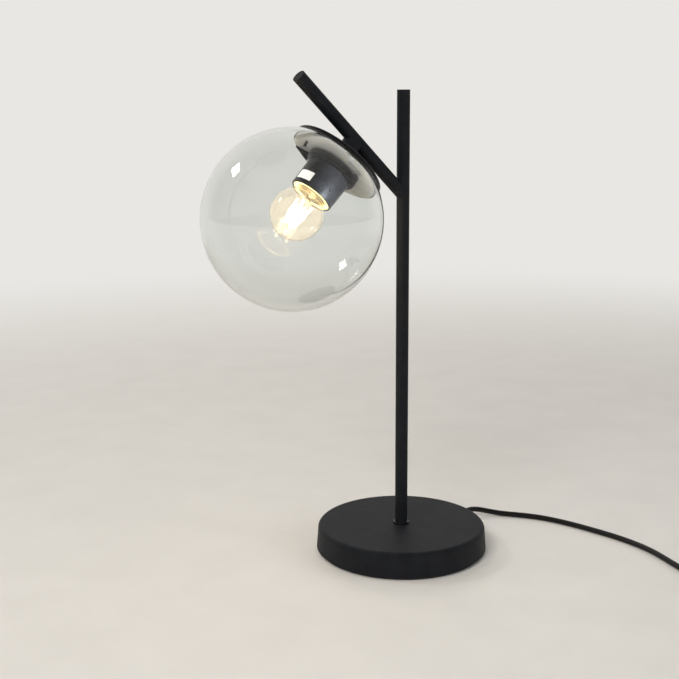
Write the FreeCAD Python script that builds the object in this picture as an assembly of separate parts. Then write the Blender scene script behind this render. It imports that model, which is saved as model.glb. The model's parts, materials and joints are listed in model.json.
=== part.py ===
import FreeCAD, Part
import math
import os

# Glass globe table lamp. Millimetres, +Z up. The origin is on the table, on the post's axis.
# The slanted arm rises towards -X, and its plane is the XZ plane.

V = FreeCAD.Vector

# ---- Driving dimensions: base ----
base_bottom_radius = 77.0
side_draft = 1.6            # how much narrower the cover is at its top
base_height = 24.4          # table to the top of the cover
cover_lift = 3.0            # table to the cover's lower edge
cover_wall = 1.2
cover_edge_round = 3.6
pad_inset = 2.6             # in from the cover's lower edge
pad_height = 2.5
plate_thickness = 1.2
plate_clearance = 0.4       # bottom plate to the cover's wall
weight_clearance = 0.5      # weight to the cover's wall
pocket_radius = 19.0
pocket_ceiling = 13.0       # over the nut, from the table
channel_width = 16.0
plate_screw_inset = 21.0    # in from the cover's lower edge
plate_screw_count = 3
pad_chamfer = 0.6
pad_hole_clearance = 0.6    # pad to the screws' heads
screw_radius = 2.0
screw_bite = 7.0
screw_head_radius = 3.6
screw_head_height = 1.8
screw_slot_width = 1.0
screw_slot_depth = 0.8
clamp_inset = 15.0          # in from the cover's lower edge, along the cord
clamp_spacing = 10.4
clamp_width = 6.0
clamp_thickness = 1.2
clamp_margin = 2.4          # past the screws' centres
clamp_foot = 2.2            # width of the clamp's feet
clamp_screw_radius = 1.25
clamp_screw_bite = 4.0
clamp_head_radius = 2.3
clamp_head_height = 0.8
block_start = 27.0          # from the post's axis, along the cord
block_length = 16.0
block_width = 12.0
block_height = 6.8
block_screw_radius = 1.6
block_screw_height = 1.1
block_bore_depth = 1.5
block_slot_width = 0.5

# ---- Driving dimensions: stem ----
tube_radius = 5.6
tube_wall = 1.0
post_top = 411.0
ring_radius = 7.2
ring_height = 1.6
junction_height = 322.3     # where the arm's axis meets the post's axis
arm_angle = 45.85           # arm from the vertical, degrees
arm_length = 143.7          # along its axis, from the post's axis to its end
end_cap_thickness = 0.8
end_cap_depth = 8.0
nipple_radius = 4.0         # hollow threaded pipe in the base
nipple_bore = 2.8
base_nut_flats = 13.0
base_nut_height = 3.5
base_washer_radius = 8.5
base_washer_thickness = 0.8
nipple_stub = 0.5           # nipple's end past the nut
hole_clearance = 0.2
bush_height = 16.0
nipple_inside_bush = 2.0    # nipple's end below the bush's top
ring_round = 0.4
cap_spigot_wall = 1.2       # of the end caps
junction_hole_radius = 4.4

# ---- Driving dimensions: head, along its axis from the arm's axis ----
head_along_arm = 69.2       # from the post's axis, along the arm
neck_radius = 8.0
cap_radius = 42.6
cap_crown = 19.5            # top of the domed cap
cap_shoulder = 22.9         # where the dome meets the rim
cap_flange = 25.2           # underside of the rim
cap_sheet = 1.2
cap_flat = 2.0              # flat ring on the crown, past the neck
cap_edge = 0.9              # rounding of the rim, inwards
cap_edge_height = 0.8       # and along the axis
cap_edge_rise = 0.3         # dome's end above the shoulder
cap_edge_bulge = 0.22       # middle of the rounding, in from the rim
gasket_thickness = 1.0
gasket_inset = 0.1          # gasket's outer edge to the rim
glass_opening_radius = 41.0
spigot_clearance = 0.4      # cap's spigot to the glass opening
globe_radius = 75.0
globe_wall = 2.0
glass_seat_radius = 42.93   # of the ball's outside where its edge is ground flat
reflector_top = 28.0
reflector_thickness = 1.0
reflector_round = 0.7
plate_slot_radius = 29.8    # middle of each slot, from the head's axis
plate_slot_width = 2.8
plate_slot_length = 17.0
plate_slot_count = 3
plate_slot_turn = 28.0      # first slot, degrees about the head's axis from up the arm
hub_radius = 21.0           # clamped between the plate and the lampholder
hook_turn = 54.2
hook_sheet = 1.2
hook_lap = 2.0              # of the hook on the hub
hook_gap = 0.6              # hook to the lampholder's flange
hook_tip_gap = 0.8          # hook to the globe's opening
hook_tip_height = 0.8
hook_root_height = 7.5
latch_slot = 2              # which slot the latch stands in
latch_place = -6.4          # along the slot from its middle
latch_wire_radius = 0.6
latch_bar_radius = 1.3      # cross bar behind the plate
latch_bar_length = 20.0     # longer than the slot that it lies over
latch_offset = 0.5          # cross bar outwards from the slot's middle
latch_bar_gap = 0.05
latch_lean = 23.0           # wire from the head's axis at rest, degrees inwards
latch_reach = 8.0           # from the cross bar to the bead's centre
latch_bead_radius = 3.6
holder_top = 30.0
holder_flange_radius = 23.4
holder_flange_round = 0.8
holder_flange_height = 3.4  # from the holder's top to the shoulder's curve
holder_shoulder_bulge = 5.6
holder_ledge = 0.3          # dome past the barrel
holder_shoulder = 36.8      # where the holder's dome meets its barrel
barrel_top_radius = 19.7
barrel_mouth_radius = 19.1
barrel_wall = 1.2           # at the mouth
holder_mouth = 62.0
mouth_bore_radius = 14.3
mouth_lip = 2.4             # depth of the insulator's lip round the bulb
mouth_recess = 0.5          # of that lip behind the barrel's edge
mouth_outer_chamfer = 0.4
mouth_inner_chamfer = 0.6
barrel_edge = 0.5
barrel_hole_radius = 0.9    # for the shade ring's locking pin
barrel_hole_depth = 54.0
barrel_hole_turn = 269.0
holder_wall = 1.5
shell_sheet = 0.5
carrier_floor = 2.6         # thickness of the insulator above the bulb
carrier_gap = 0.6           # head nut to the insulator
contact_gap = 0.1           # from the bulb's contact to the leaf
leaf_thickness = 0.5
leaf_width = 5.0
leaf_reach = 9.0            # to its terminal
leaf_tail = 4.0
leaf_bump_radius = 2.4
terminal_radius = 2.0
terminal_place = 9.0
terminal_depth = 1.8
terminal_slot_width = 0.6
terminal_slot_depth = 0.6
wire_radius = 0.9
wire_spacing = 2.4
wire_depth = 1.0            # wire's axis below the insulator's top
wire_floor_gap = 1.0        # wire over the bottom plate
wire_bends = [20.0, 20.0, 2.4, 2.4, 60.0, 30.0, 3.0, 30.0, 1.4]
wire_room = 0.3             # trough to the wire
label_start = 50.2
label_length = 8.0
label_thickness = 0.15
label_sweep = 47.0
label_turn = -38.0          # where the label starts, degrees about the head's axis from up the arm
head_nipple_radius = 5.0
head_nipple_bore = 3.6
head_nut_height = 2.4
head_nut_flats = 14.0
head_washer_radius = 8.6
washer_thickness = 0.5
head_nipple_stub = 0.1      # nipple's end past the nut
head_nipple_gap = 0.4       # nipple to the arm's wall

# ---- Driving dimensions: bulb ----
bulb_radius = 22.5
bulb_centre = 81.4
bulb_neck_radius = 12.9
bulb_wall = 0.8
bulb_cap_radius = 13.15     # over the thread's ridges
bulb_cap_top = 44.6         # upper end of the metal cap's thread
bulb_cap_end = 61.2         # where the metal cap holds the glass
bulb_contact = 39.5
thread_pitch = 3.63
thread_depth = 0.8
thread_clearance = 0.25     # bulb's thread to the holder's screw shell
thread_rise = 0.5           # where a ridge starts in its pitch
thread_flank = 0.9
thread_crest = 0.8
bulb_cap_sheet = 0.4
bulb_skirt_height = 1.6     # plain band of the metal cap that holds the glass
bulb_skirt_flank = 0.8
bulb_cap_plain = 3.0        # unthreaded end of the metal cap
bulb_flare = 50.0           # degrees of ball that the neck's curve takes
contact_radius = 4.0
contact_height = 1.0
contact_round = 0.6
insulator_radius = 4.4      # at the contact
insulator_seat = 1.2        # inside the metal cap
stem_top_drop = 7.0         # top of the glass stem above the ball's centre
stem_radius = 2.2
stem_waist_radius = 3.0
stem_flare_radius = 8.0
stem_gap = 1.0              # stem's foot to the metal cap and the neck's end
stem_flare_height = 1.5
stem_waist_height = 5.0
filament_count = 4
filament_length = 26.0
filament_radius = 0.9
filament_low_place = 7.4
filament_high_place = 4.4
filament_turn = 45.0
hook_radius = 0.3
hook_depth = 4.0            # hook's root below the stem's top

# ---- Driving dimensions: cord, switch, plug ----
cord_radius = 2.5
cord_turn = 15.0            # where the cord leaves the base, degrees about the post
cord_exit_height = 8.6
relief_length = 18.0        # outside the base
relief_root_radius = 5.0
relief_tip_radius = 3.4
relief_neck_radius = 3.6    # through the cover
relief_flange_radius = 4.7  # inside the cover
relief_flange_thickness = 1.8
relief_gap = 0.3            # from the cover's wall to the relief, inside and out
relief_collar = 1.8         # length of its full-width collar
relief_step = 0.5           # from the collar to the taper
relief_room = 0.6           # weight to the relief's flange
relief_pocket = 4.0         # room behind the flange
floor_gap = 0.1             # cord, switch and plug to the table
coil_radius = 37.2          # outermost turn's centreline
coil_pitch = 5.5
coil_layer = 5.6
coil_lift = 1.0             # room for the tie under the coil
coil_turns_in = 3.17
coil_start = 20.0           # degrees
coil_centre = V(268.0, -178.0, 0)
tie_turn = 150.0
tie_sheet = 0.7
tie_width = 7.0
tie_gap = 0.3               # over the turns
tie_inner_gap = 1.2         # inside the innermost turn
tie_outer_gap = 0.6         # outside the outermost
switch_length = 60.0
switch_width = 26.0
switch_height = 18.0
switch_split = 9.0
switch_wall = 1.8
rocker_length = 20.0
rocker_width = 11.0
rocker_clearance = 0.4
rocker_pin_radius = 1.0
pin_clearance = 0.05
rocker_range = 9.0
switch_relief = 12.0
switch_axis_height = 6.2    # cord's axis through the switch
switch_corner = 8.0
switch_top_round = 2.0
switch_low_round = 1.5
switch_screw_radius = 1.4
switch_screw_head = 2.6
switch_screw_seat = 2.0     # head's upper face, from the table
switch_screw_low = 0.3
switch_screw_end = 4.0      # screw's end below the switch's top
switch_screw_inset_x = 7.5
switch_screw_inset_y = 5.5
switch_end_block = 8.0      # solid ends that grip the cord, past the wall
switch_side_block = 2.0
cavity_corner = 4.0
rocker_pin_depth = 2.6      # pin's axis below the switch's top
rocker_rise = 2.4           # rocker's ends above the switch's top
rocker_dish = 1.9           # hollow of its top
rocker_depth = 2.4          # its underside below the pin's axis
rocker_pin_inset = 1.0      # pin's end to the shell's wall
cheek_length = 6.0
cheek_margin = 0.5
contact_place = 9.0
contact_length = 10.0
contact_width = 6.0
contact_sheet = 1.0
contact_post = 2.0
contact_post_height = 4.5
plug_length = 36.0
plug_width = 35.3
plug_height = 13.7
plug_back_inset = 6.0       # narrower at its back, each side
plug_bulge_place = 0.42     # of its length
plug_shoulder_place = 0.75
plug_bulge_inset = 1.2
plug_front_inset = 1.5
plug_chamfer = 1.6
plug_pin_round = 1.2
plug_relief_root = 5.6
plug_relief_collar = 5.2
plug_relief_collar_length = 3.0
sleeve_root_radius = 5.0    # sleeves of the switch
sleeve_tip_radius = 3.5
sleeve_collar = 1.5
plug_pin_radius = 2.0
plug_pin_length = 19.0
plug_pin_spacing = 18.6
plug_relief = 24.0

NODES = {}
lock_washers = []           # one under the base's nut, one under the head's
inner_cords = []            # the cord's ends inside the switch and the plug


# ---- Helpers ----
def cylinder(radius, start, end):
    """A solid cylinder between two points."""
    axis = end - start
    return Part.makeCylinder(radius, axis.Length, start, axis)


def up(z):
    """A point on the post's axis."""
    return V(0, 0, z)


def revolve(points):
    """A solid of revolution about Z from (radius, height) points."""
    wire = Part.makePolygon([V(r, 0, z) for r, z in points + points[:1]])
    return Part.Face(wire).revolve(V(0, 0, 0), V(0, 0, 1), 360)


def ring(outer, inner, low, high):
    """A flat ring about Z."""
    return revolve([(inner, low), (outer, low), (outer, high), (inner, high)])


def hexagon(across_flats, low, high, bore):
    """A hexagon nut about Z."""
    corner = across_flats / math.sqrt(3)
    angles = [math.radians(60 * k) for k in range(7)]
    wire = Part.makePolygon([V(corner * math.cos(t), corner * math.sin(t), low) for t in angles])
    nut = Part.Face(wire).extrude(up(high - low))
    return nut.cut(cylinder(bore, up(low - 1), up(high + 1)))


def box_between(x0, x1, y0, y1, z0, z1):
    """A box between two corners."""
    return Part.makeBox(x1 - x0, y1 - y0, z1 - z0, V(x0, y0, z0))


def turned(shape, degrees):
    """A copy turned about the post's axis."""
    copy = shape.copy()
    copy.rotate(V(0, 0, 0), V(0, 0, 1), degrees)
    return copy


def rounded_path(points, radii=None, label=None):
    """Straight runs joined by tangent arcs; each arc is 0.45 of its shorter run over tan(half turn)."""
    edges = []
    used = []
    last = points[0]
    for k in range(1, len(points) - 1):
        back = points[k - 1] - points[k]
        ahead = points[k + 1] - points[k]
        turn = math.pi - back.getAngle(ahead)
        shorter = min(back.Length, ahead.Length)
        reach = 0.45 * shorter
        if radii:
            reach = min(reach, radii[k - 1] * math.tan(turn / 2))
        radius = reach / math.tan(turn / 2)
        back.normalize()
        ahead.normalize()
        first = points[k] + back * reach
        final = points[k] + ahead * reach
        bisector = back + ahead
        bisector.normalize()
        distance = radius / math.cos(turn / 2) - radius
        middle = points[k] + bisector * distance
        edges.append(Part.LineSegment(last, first).toShape())
        edges.append(Part.Arc(first, middle, final).toShape())
        used.append(radius)
        last = final
    edges.append(Part.LineSegment(last, points[-1]).toShape())
    if label:
        print(label, "radii", [round(r, 1) for r in used])
    return Part.Wire(edges)


def sweep_round(path, radius, label=None):
    """A round tube along a path, with its volume set against its section times its length."""
    start = path.Vertexes[0].Point
    tangent = path.Edges[0].tangentAt(path.Edges[0].FirstParameter)
    section = Part.Wire(Part.makeCircle(radius, start, tangent))
    tube = path.makePipeShell([section], True, False)
    if label:
        expected = math.pi * radius ** 2 * path.Length
        print(label, "length", round(path.Length, 1), "volume ratio", round(tube.Volume / expected, 4))
    return tube


def keep(name, *solids):
    """Names a node and the solids in it."""
    NODES[name] = list(solids)


# ---- The head's own frame: X up the arm, Z away from the arm and down, Y across ----
lean = math.radians(arm_angle)
arm_direction = V(-math.sin(lean), 0, math.cos(lean))
head_direction = V(-math.cos(lean), 0, -math.sin(lean))
junction = up(junction_height)
arm_end = junction + arm_direction * arm_length
head_origin = junction + arm_direction * head_along_arm
HEAD = FreeCAD.Placement(
    FreeCAD.Matrix(
        arm_direction.x, 0, head_direction.x, head_origin.x,
        arm_direction.y, 1, head_direction.y, head_origin.y,
        arm_direction.z, 0, head_direction.z, head_origin.z,
        0, 0, 0, 1,
    )
)


def in_head(shape):
    """A shape made about the head's axis, put in its place."""
    copy = shape.copy()
    copy.Placement = HEAD.multiply(copy.Placement)
    return copy


def head_point(x, y, w):
    """A point given in the head's frame."""
    return HEAD.multVec(V(x, y, w))


# ---- Base ----
cord_azimuth = math.radians(cord_turn)
cord_out = V(math.cos(cord_azimuth), math.sin(cord_azimuth), 0)
cord_side = V(-math.sin(cord_azimuth), math.cos(cord_azimuth), 0)
base_top_radius = base_bottom_radius - side_draft
pad_radius = base_bottom_radius - pad_inset
plate_screw_circle = base_bottom_radius - plate_screw_inset
cover_inside_top = base_height - cover_wall
plate_top = pad_height + plate_thickness


def cover_radius(z):
    """The drafted side's radius at a height."""
    share = (z - cover_lift) / (base_height - cover_lift)
    return base_bottom_radius + (base_top_radius - base_bottom_radius) * share


def along_cord(distance, height):
    """A point over the cord's way out of the base."""
    return cord_out * distance + up(height)


def make_base_cover():
    """A pressed steel cup, open below, with holes for the post's pipe and the cord."""
    outer = revolve([
        (0, cover_lift), (base_bottom_radius, cover_lift),
        (base_top_radius, base_height), (0, base_height),
    ])
    rim = [e for e in outer.Edges if e.BoundBox.ZMin > base_height - 0.01 and e.Length > base_top_radius]
    outer = outer.makeFillet(cover_edge_round, rim)
    inner = revolve([
        (0, cover_lift - 1), (base_bottom_radius - cover_wall, cover_lift - 1),
        (base_top_radius - cover_wall, cover_inside_top), (0, cover_inside_top),
    ])
    rim = [e for e in inner.Edges if e.BoundBox.ZMin > cover_inside_top - 0.01 and e.Length > base_top_radius]
    inner = inner.makeFillet(cover_edge_round - cover_wall, rim)
    cup = outer.cut(inner)
    cup = cup.cut(cylinder(nipple_radius + hole_clearance, up(cover_inside_top - 1), up(base_height + 1)))
    hole = cylinder(relief_neck_radius + hole_clearance, along_cord(pad_radius - 8, cord_exit_height),
                    along_cord(relief_start + 5, cord_exit_height))
    return cup.cut(hole)


def make_base_weight():
    """A cast disc with a pocket for the nut and a channel for the cord, both open below."""
    top_radius = cover_radius(cover_inside_top) - cover_wall - weight_clearance
    low_radius = cover_radius(plate_top) - cover_wall - weight_clearance
    disc = revolve([
        (0, plate_top), (low_radius, plate_top),
        (top_radius, cover_inside_top), (0, cover_inside_top),
    ])
    rim = [e for e in disc.Edges if e.BoundBox.ZMin > cover_inside_top - 0.01 and e.Length > top_radius]
    disc = disc.makeFillet(cover_edge_round, rim)
    disc = disc.cut(cylinder(pocket_radius, up(plate_top - 1), up(pocket_ceiling)))
    disc = disc.cut(cylinder(nipple_radius + hole_clearance, up(plate_top), up(base_height)))
    half = channel_width / 2
    channel = box_between(0, base_bottom_radius, -half, half, plate_top - 1, channel_ceiling)
    disc = disc.cut(turned(channel, cord_turn))
    disc = disc.cut(cylinder(relief_flange_radius + relief_room,
                             along_cord(relief_back - relief_pocket, cord_exit_height),
                             along_cord(relief_start + 5, cord_exit_height)))
    for spot in screw_spots():
        disc = disc.cut(cylinder(screw_radius, up(plate_top - 1) + spot, up(plate_top + screw_bite) + spot))
    for spot in clamp_spots():
        start = up(channel_ceiling - 1) + spot
        disc = disc.cut(cylinder(clamp_screw_radius, start, start + up(1 + clamp_screw_bite)))
    return disc


channel_ceiling = cord_exit_height + cord_radius
relief_span = [cover_radius(cord_exit_height + side * relief_root_radius) for side in (-1, 1)]
relief_start = max(relief_span) + relief_gap
relief_flange_face = min(relief_span) - cover_wall - relief_gap
relief_back = relief_flange_face - relief_flange_thickness
clamp_place = base_bottom_radius - clamp_inset


def screw_spots():
    """Where the bottom plate's screws stand."""
    step = 360 / plate_screw_count
    angles = [math.radians(cord_turn + 60 + step * k) for k in range(plate_screw_count)]
    return [V(math.cos(t), math.sin(t), 0) * plate_screw_circle for t in angles]


def clamp_spots():
    """Where the cord clamp's screws stand."""
    return [cord_out * clamp_place + cord_side * (side * clamp_spacing / 2) for side in (-1, 1)]


def make_plate_screw(spot):
    """A pan-head screw from below."""
    head = cylinder(screw_head_radius, spot + up(pad_height - screw_head_height), spot + up(pad_height))
    shank = cylinder(screw_radius, spot + up(pad_height), spot + up(plate_top + screw_bite))
    slot = box_between(-screw_head_radius, screw_head_radius,
                       -screw_slot_width / 2, screw_slot_width / 2, 0, screw_slot_depth)
    slot.translate(spot + up(pad_height - screw_head_height))
    return head.fuse(shank).cut(slot)


def make_base():
    """Everything under the post."""
    keep("base_cover", make_base_cover())
    keep("base_weight", make_base_weight())
    plate_radius = cover_radius(cover_lift) - cover_wall - plate_clearance
    plate = cylinder(plate_radius, up(pad_height), up(plate_top))
    pad = cylinder(pad_radius, up(0), up(pad_height))
    pad = pad.makeChamfer(pad_chamfer, [e for e in pad.Edges if e.BoundBox.ZMax < 0.01])
    for spot in screw_spots():
        plate = plate.cut(cylinder(screw_radius, spot, spot + up(plate_top + 1)))
        pad = pad.cut(cylinder(screw_head_radius + pad_hole_clearance, spot, spot + up(pad_height + 1)))
    keep("bottom_plate", plate)
    keep("foot_pad", pad)
    keep("bottom_plate_screws", *[make_plate_screw(spot) for spot in screw_spots()])

    washer_low = pocket_ceiling - base_washer_thickness
    nut_low = washer_low - base_nut_height
    lock_washers.append(ring(base_washer_radius, nipple_radius, washer_low, pocket_ceiling))
    keep("base_nut", hexagon(base_nut_flats, nut_low, washer_low, nipple_radius))
    nipple_top = base_height + ring_height + bush_height - nipple_inside_bush
    keep("base_nipple", ring(nipple_radius, nipple_bore, nut_low - nipple_stub, nipple_top))

    block_low = channel_ceiling - block_height
    block = box_between(block_start, block_start + block_length, -block_width / 2, block_width / 2,
                        block_low, channel_ceiling)
    screws = []
    for side in (-1, 1):
        for share in (0.25, 0.75):
            place = V(block_start + block_length * share, side * block_width / 4, block_low)
            block = block.cut(cylinder(block_screw_radius, place - up(1), place + up(block_bore_depth)))
            low = block_low + block_bore_depth - block_screw_height
            head = cylinder(block_screw_radius, V(place.x, place.y, low), place + up(block_bore_depth))
            slot = box_between(place.x - 2, place.x + 2,
                               place.y - block_slot_width / 2, place.y + block_slot_width / 2,
                               low, low + block_slot_width)
            screws.append(turned(head.cut(slot), cord_turn))
    keep("terminal_block", turned(block, cord_turn))
    keep("terminal_screws", *screws)

    cord_low = cord_exit_height - cord_radius
    half = clamp_spacing / 2 + clamp_margin
    clamp = box_between(clamp_place - clamp_width / 2, clamp_place + clamp_width / 2, -half, half,
                        cord_low - clamp_thickness, channel_ceiling)
    clamp = clamp.cut(box_between(clamp_place - clamp_width, clamp_place + clamp_width,
                                  clamp_foot - half, half - clamp_foot, cord_low, channel_ceiling + 1))
    clamp = turned(clamp, cord_turn)
    screws = []
    for spot in clamp_spots():
        base = spot + up(cord_low - clamp_thickness)
        clamp = clamp.cut(cylinder(clamp_screw_radius, base - up(1), spot + up(channel_ceiling + 1)))
        head = cylinder(clamp_head_radius, base - up(clamp_head_height), base)
        shank = cylinder(clamp_screw_radius, base, spot + up(channel_ceiling + clamp_screw_bite))
        screws.append(head.fuse(shank))
    keep("cord_clamp", clamp)
    keep("cord_clamp_screws", *screws)


# ---- Stem ----
def make_stem():
    """Post, its foot, the slanted arm and their end caps."""
    inner = tube_radius - tube_wall
    foot = base_height + ring_height
    post_body = post_top - end_cap_thickness
    foot_ring = ring(ring_radius, nipple_radius, base_height, foot)
    edge = [e for e in foot_ring.Edges if e.BoundBox.ZMin > foot - 0.01 and e.Length > 6 * ring_radius]
    keep("post_foot_ring", foot_ring.makeFillet(ring_round, edge))
    post = ring(tube_radius, inner, foot, post_body)
    post = post.cut(cylinder(junction_hole_radius, junction, junction + arm_direction * (3 * tube_radius)))
    keep("post_tube", post)
    keep("post_foot_bush", ring(inner, nipple_radius, foot, foot + bush_height))

    arm_body = arm_length - end_cap_thickness
    reach = 6 * tube_radius / math.tan(lean)
    arm = cylinder(tube_radius, junction, junction + arm_direction * arm_body)
    bore = cylinder(inner, junction, junction + arm_direction * (arm_body + 1))
    arm = arm.cut(bore).cut(cylinder(tube_radius, junction - up(reach), junction + up(reach)))
    arm = max(arm.Solids, key=lambda solid: solid.Volume)
    outlet = in_head(cylinder(head_nipple_bore, V(0, 0, 0), V(0, 0, tube_radius + 1)))
    keep("arm_tube", arm.cut(outlet))

    def end_cap(end, direction):
        """A flat disc with a spigot pressed into the tube."""
        disc = cylinder(tube_radius, end - direction * end_cap_thickness, end)
        spigot = cylinder(inner, end - direction * (end_cap_thickness + end_cap_depth),
                          end - direction * end_cap_thickness)
        hollow = cylinder(inner - cap_spigot_wall, end - direction * (end_cap_thickness + end_cap_depth + 1),
                          end - direction * end_cap_thickness)
        return disc.fuse(spigot).cut(hollow)

    keep("tube_end_caps", end_cap(up(post_top), V(0, 0, 1)), end_cap(arm_end, arm_direction))


# ---- Head ----
spigot_radius = glass_opening_radius - spigot_clearance
glass_edge = cap_flange + gasket_thickness
globe_centre = glass_edge + math.sqrt(globe_radius ** 2 - glass_seat_radius ** 2)
reflector_bottom = reflector_top + reflector_thickness
head_nut_end = holder_top + holder_wall + washer_thickness + head_nut_height
carrier_top = head_nut_end + carrier_gap
shell_outer = bulb_cap_radius + thread_clearance + shell_sheet


def dome_arc(start, middle, end):
    """One curved edge of a profile in the XZ plane."""
    return Part.Arc(V(start[0], 0, start[1]), V(middle[0], 0, middle[1]), V(end[0], 0, end[1])).toShape()


def line(start, end):
    """One straight edge of a profile in the XZ plane."""
    return Part.LineSegment(V(start[0], 0, start[1]), V(end[0], 0, end[1])).toShape()


def spin(edges):
    """A solid of revolution about Z from profile edges."""
    return Part.Face(Part.Wire(edges)).revolve(V(0, 0, 0), V(0, 0, 1), 360)


def make_cap():
    """A domed black dish: crown, rim, flat flange over the glass and a spigot inside it."""
    bore = head_nipple_radius
    flat = neck_radius + cap_flat
    crown_mid = (cap_radius * 0.55, cap_crown + (cap_shoulder - cap_crown) * 0.28)
    inner_mid = (crown_mid[0], crown_mid[1] + cap_sheet)
    dome_end = (cap_radius - cap_edge, cap_shoulder - cap_edge_rise)
    edge_mid = (cap_radius - cap_edge_bulge, cap_shoulder + cap_edge_rise * 0.4)
    edge_end = (cap_radius, cap_shoulder + cap_edge_height)
    inside = (spigot_radius - cap_sheet, cap_shoulder + cap_sheet)
    return spin([
        line((bore, cap_crown), (flat, cap_crown)),
        dome_arc((flat, cap_crown), crown_mid, dome_end),
        dome_arc(dome_end, edge_mid, edge_end),
        line(edge_end, (cap_radius, cap_flange)),
        line((cap_radius, cap_flange), (spigot_radius, cap_flange)),
        line((spigot_radius, cap_flange), (spigot_radius, reflector_top)),
        line((spigot_radius, reflector_top), (inside[0], reflector_top)),
        line((inside[0], reflector_top), inside),
        dome_arc(inside, inner_mid, (flat, cap_crown + cap_sheet)),
        line((flat, cap_crown + cap_sheet), (bore, cap_crown + cap_sheet)),
        line((bore, cap_crown + cap_sheet), (bore, cap_crown)),
    ])


def make_globe():
    """A blown glass ball with one round opening, its edge ground flat."""
    outer = Part.makeSphere(globe_radius, V(0, 0, globe_centre))
    inner = Part.makeSphere(globe_radius - globe_wall, V(0, 0, globe_centre))
    ball = outer.cut(inner)
    ball = ball.cut(cylinder(glass_opening_radius, up(0), up(globe_centre)))
    ball = ball.cut(cylinder(globe_radius, up(0), up(glass_edge)))
    return max(ball.Solids, key=lambda solid: solid.Volume)


def slot_turns():
    """Where the plate's slots stand about the head's axis."""
    return [plate_slot_turn + k * 360 / plate_slot_count for k in range(plate_slot_count)]


def make_hook():
    """A flat hub with one black blade on edge, whose tip keeps the globe's opening in place."""
    start = hub_radius - hook_lap
    root = holder_flange_radius + hook_gap
    tip = glass_opening_radius - hook_tip_gap
    blade = Part.Face(Part.makePolygon([
        V(start, 0, reflector_bottom), V(tip, 0, reflector_bottom),
        V(tip, 0, reflector_bottom + hook_tip_height), V(root, 0, reflector_bottom + hook_root_height),
        V(root, 0, holder_top), V(start, 0, holder_top), V(start, 0, reflector_bottom),
    ])).extrude(V(0, hook_sheet, 0))
    blade.translate(V(0, -hook_sheet / 2, 0))
    hub = ring(hub_radius, head_nipple_radius, reflector_bottom, holder_top)
    return hub.fuse(turned(blade, hook_turn)).removeSplitter()


def make_latch():
    """A wire that leans in from a cross bar behind the plate, and the bead on its end."""
    pivot = V(plate_slot_radius + latch_offset, 0, reflector_top - latch_bar_radius - latch_bar_gap)
    along = V(0, 1, 0)
    lean_way = math.radians(latch_lean)
    way = V(-math.sin(lean_way), 0, math.cos(lean_way))
    end = pivot + along * latch_place
    bead_centre = end + way * latch_reach
    half_bar = along * (latch_bar_length / 2)
    bar = cylinder(latch_bar_radius, pivot - half_bar, pivot + half_bar)
    wire = cylinder(latch_wire_radius, end, bead_centre)
    bead = Part.makeSphere(latch_bead_radius, bead_centre).cut(wire)
    turn = slot_turns()[latch_slot]
    print("latch pivot", in_head(turned(Part.Vertex(end), turn)).Point)
    print("latch axis", in_head(turned(Part.Vertex(end + along), turn)).Point
          - in_head(turned(Part.Vertex(end), turn)).Point)
    return turned(bar.fuse(wire).removeSplitter(), turn), turned(bead, turn)


def make_holder_dome():
    """The lampholder's upper half: flat top, wide flange and a rounded shoulder."""
    inside = barrel_top_radius - holder_wall
    under = holder_top + holder_wall
    rim = holder_flange_radius
    corner = holder_flange_round
    curve_start = holder_top + holder_flange_height
    curve_end = barrel_top_radius + holder_ledge
    return spin([
        line((head_nipple_radius, holder_top), (rim - corner, holder_top)),
        dome_arc((rim - corner, holder_top), (rim - corner * 0.2875, holder_top + corner * 0.2875),
                 (rim, holder_top + corner)),
        line((rim, holder_top + corner), (rim, curve_start)),
        dome_arc((rim, curve_start), (rim - 1.0, holder_top + holder_shoulder_bulge),
                 (curve_end, holder_shoulder)),
        line((curve_end, holder_shoulder), (inside, holder_shoulder)),
        line((inside, holder_shoulder), (inside, under)),
        line((inside, under), (head_nipple_radius, under)),
        line((head_nipple_radius, under), (head_nipple_radius, holder_top)),
    ])


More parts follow.
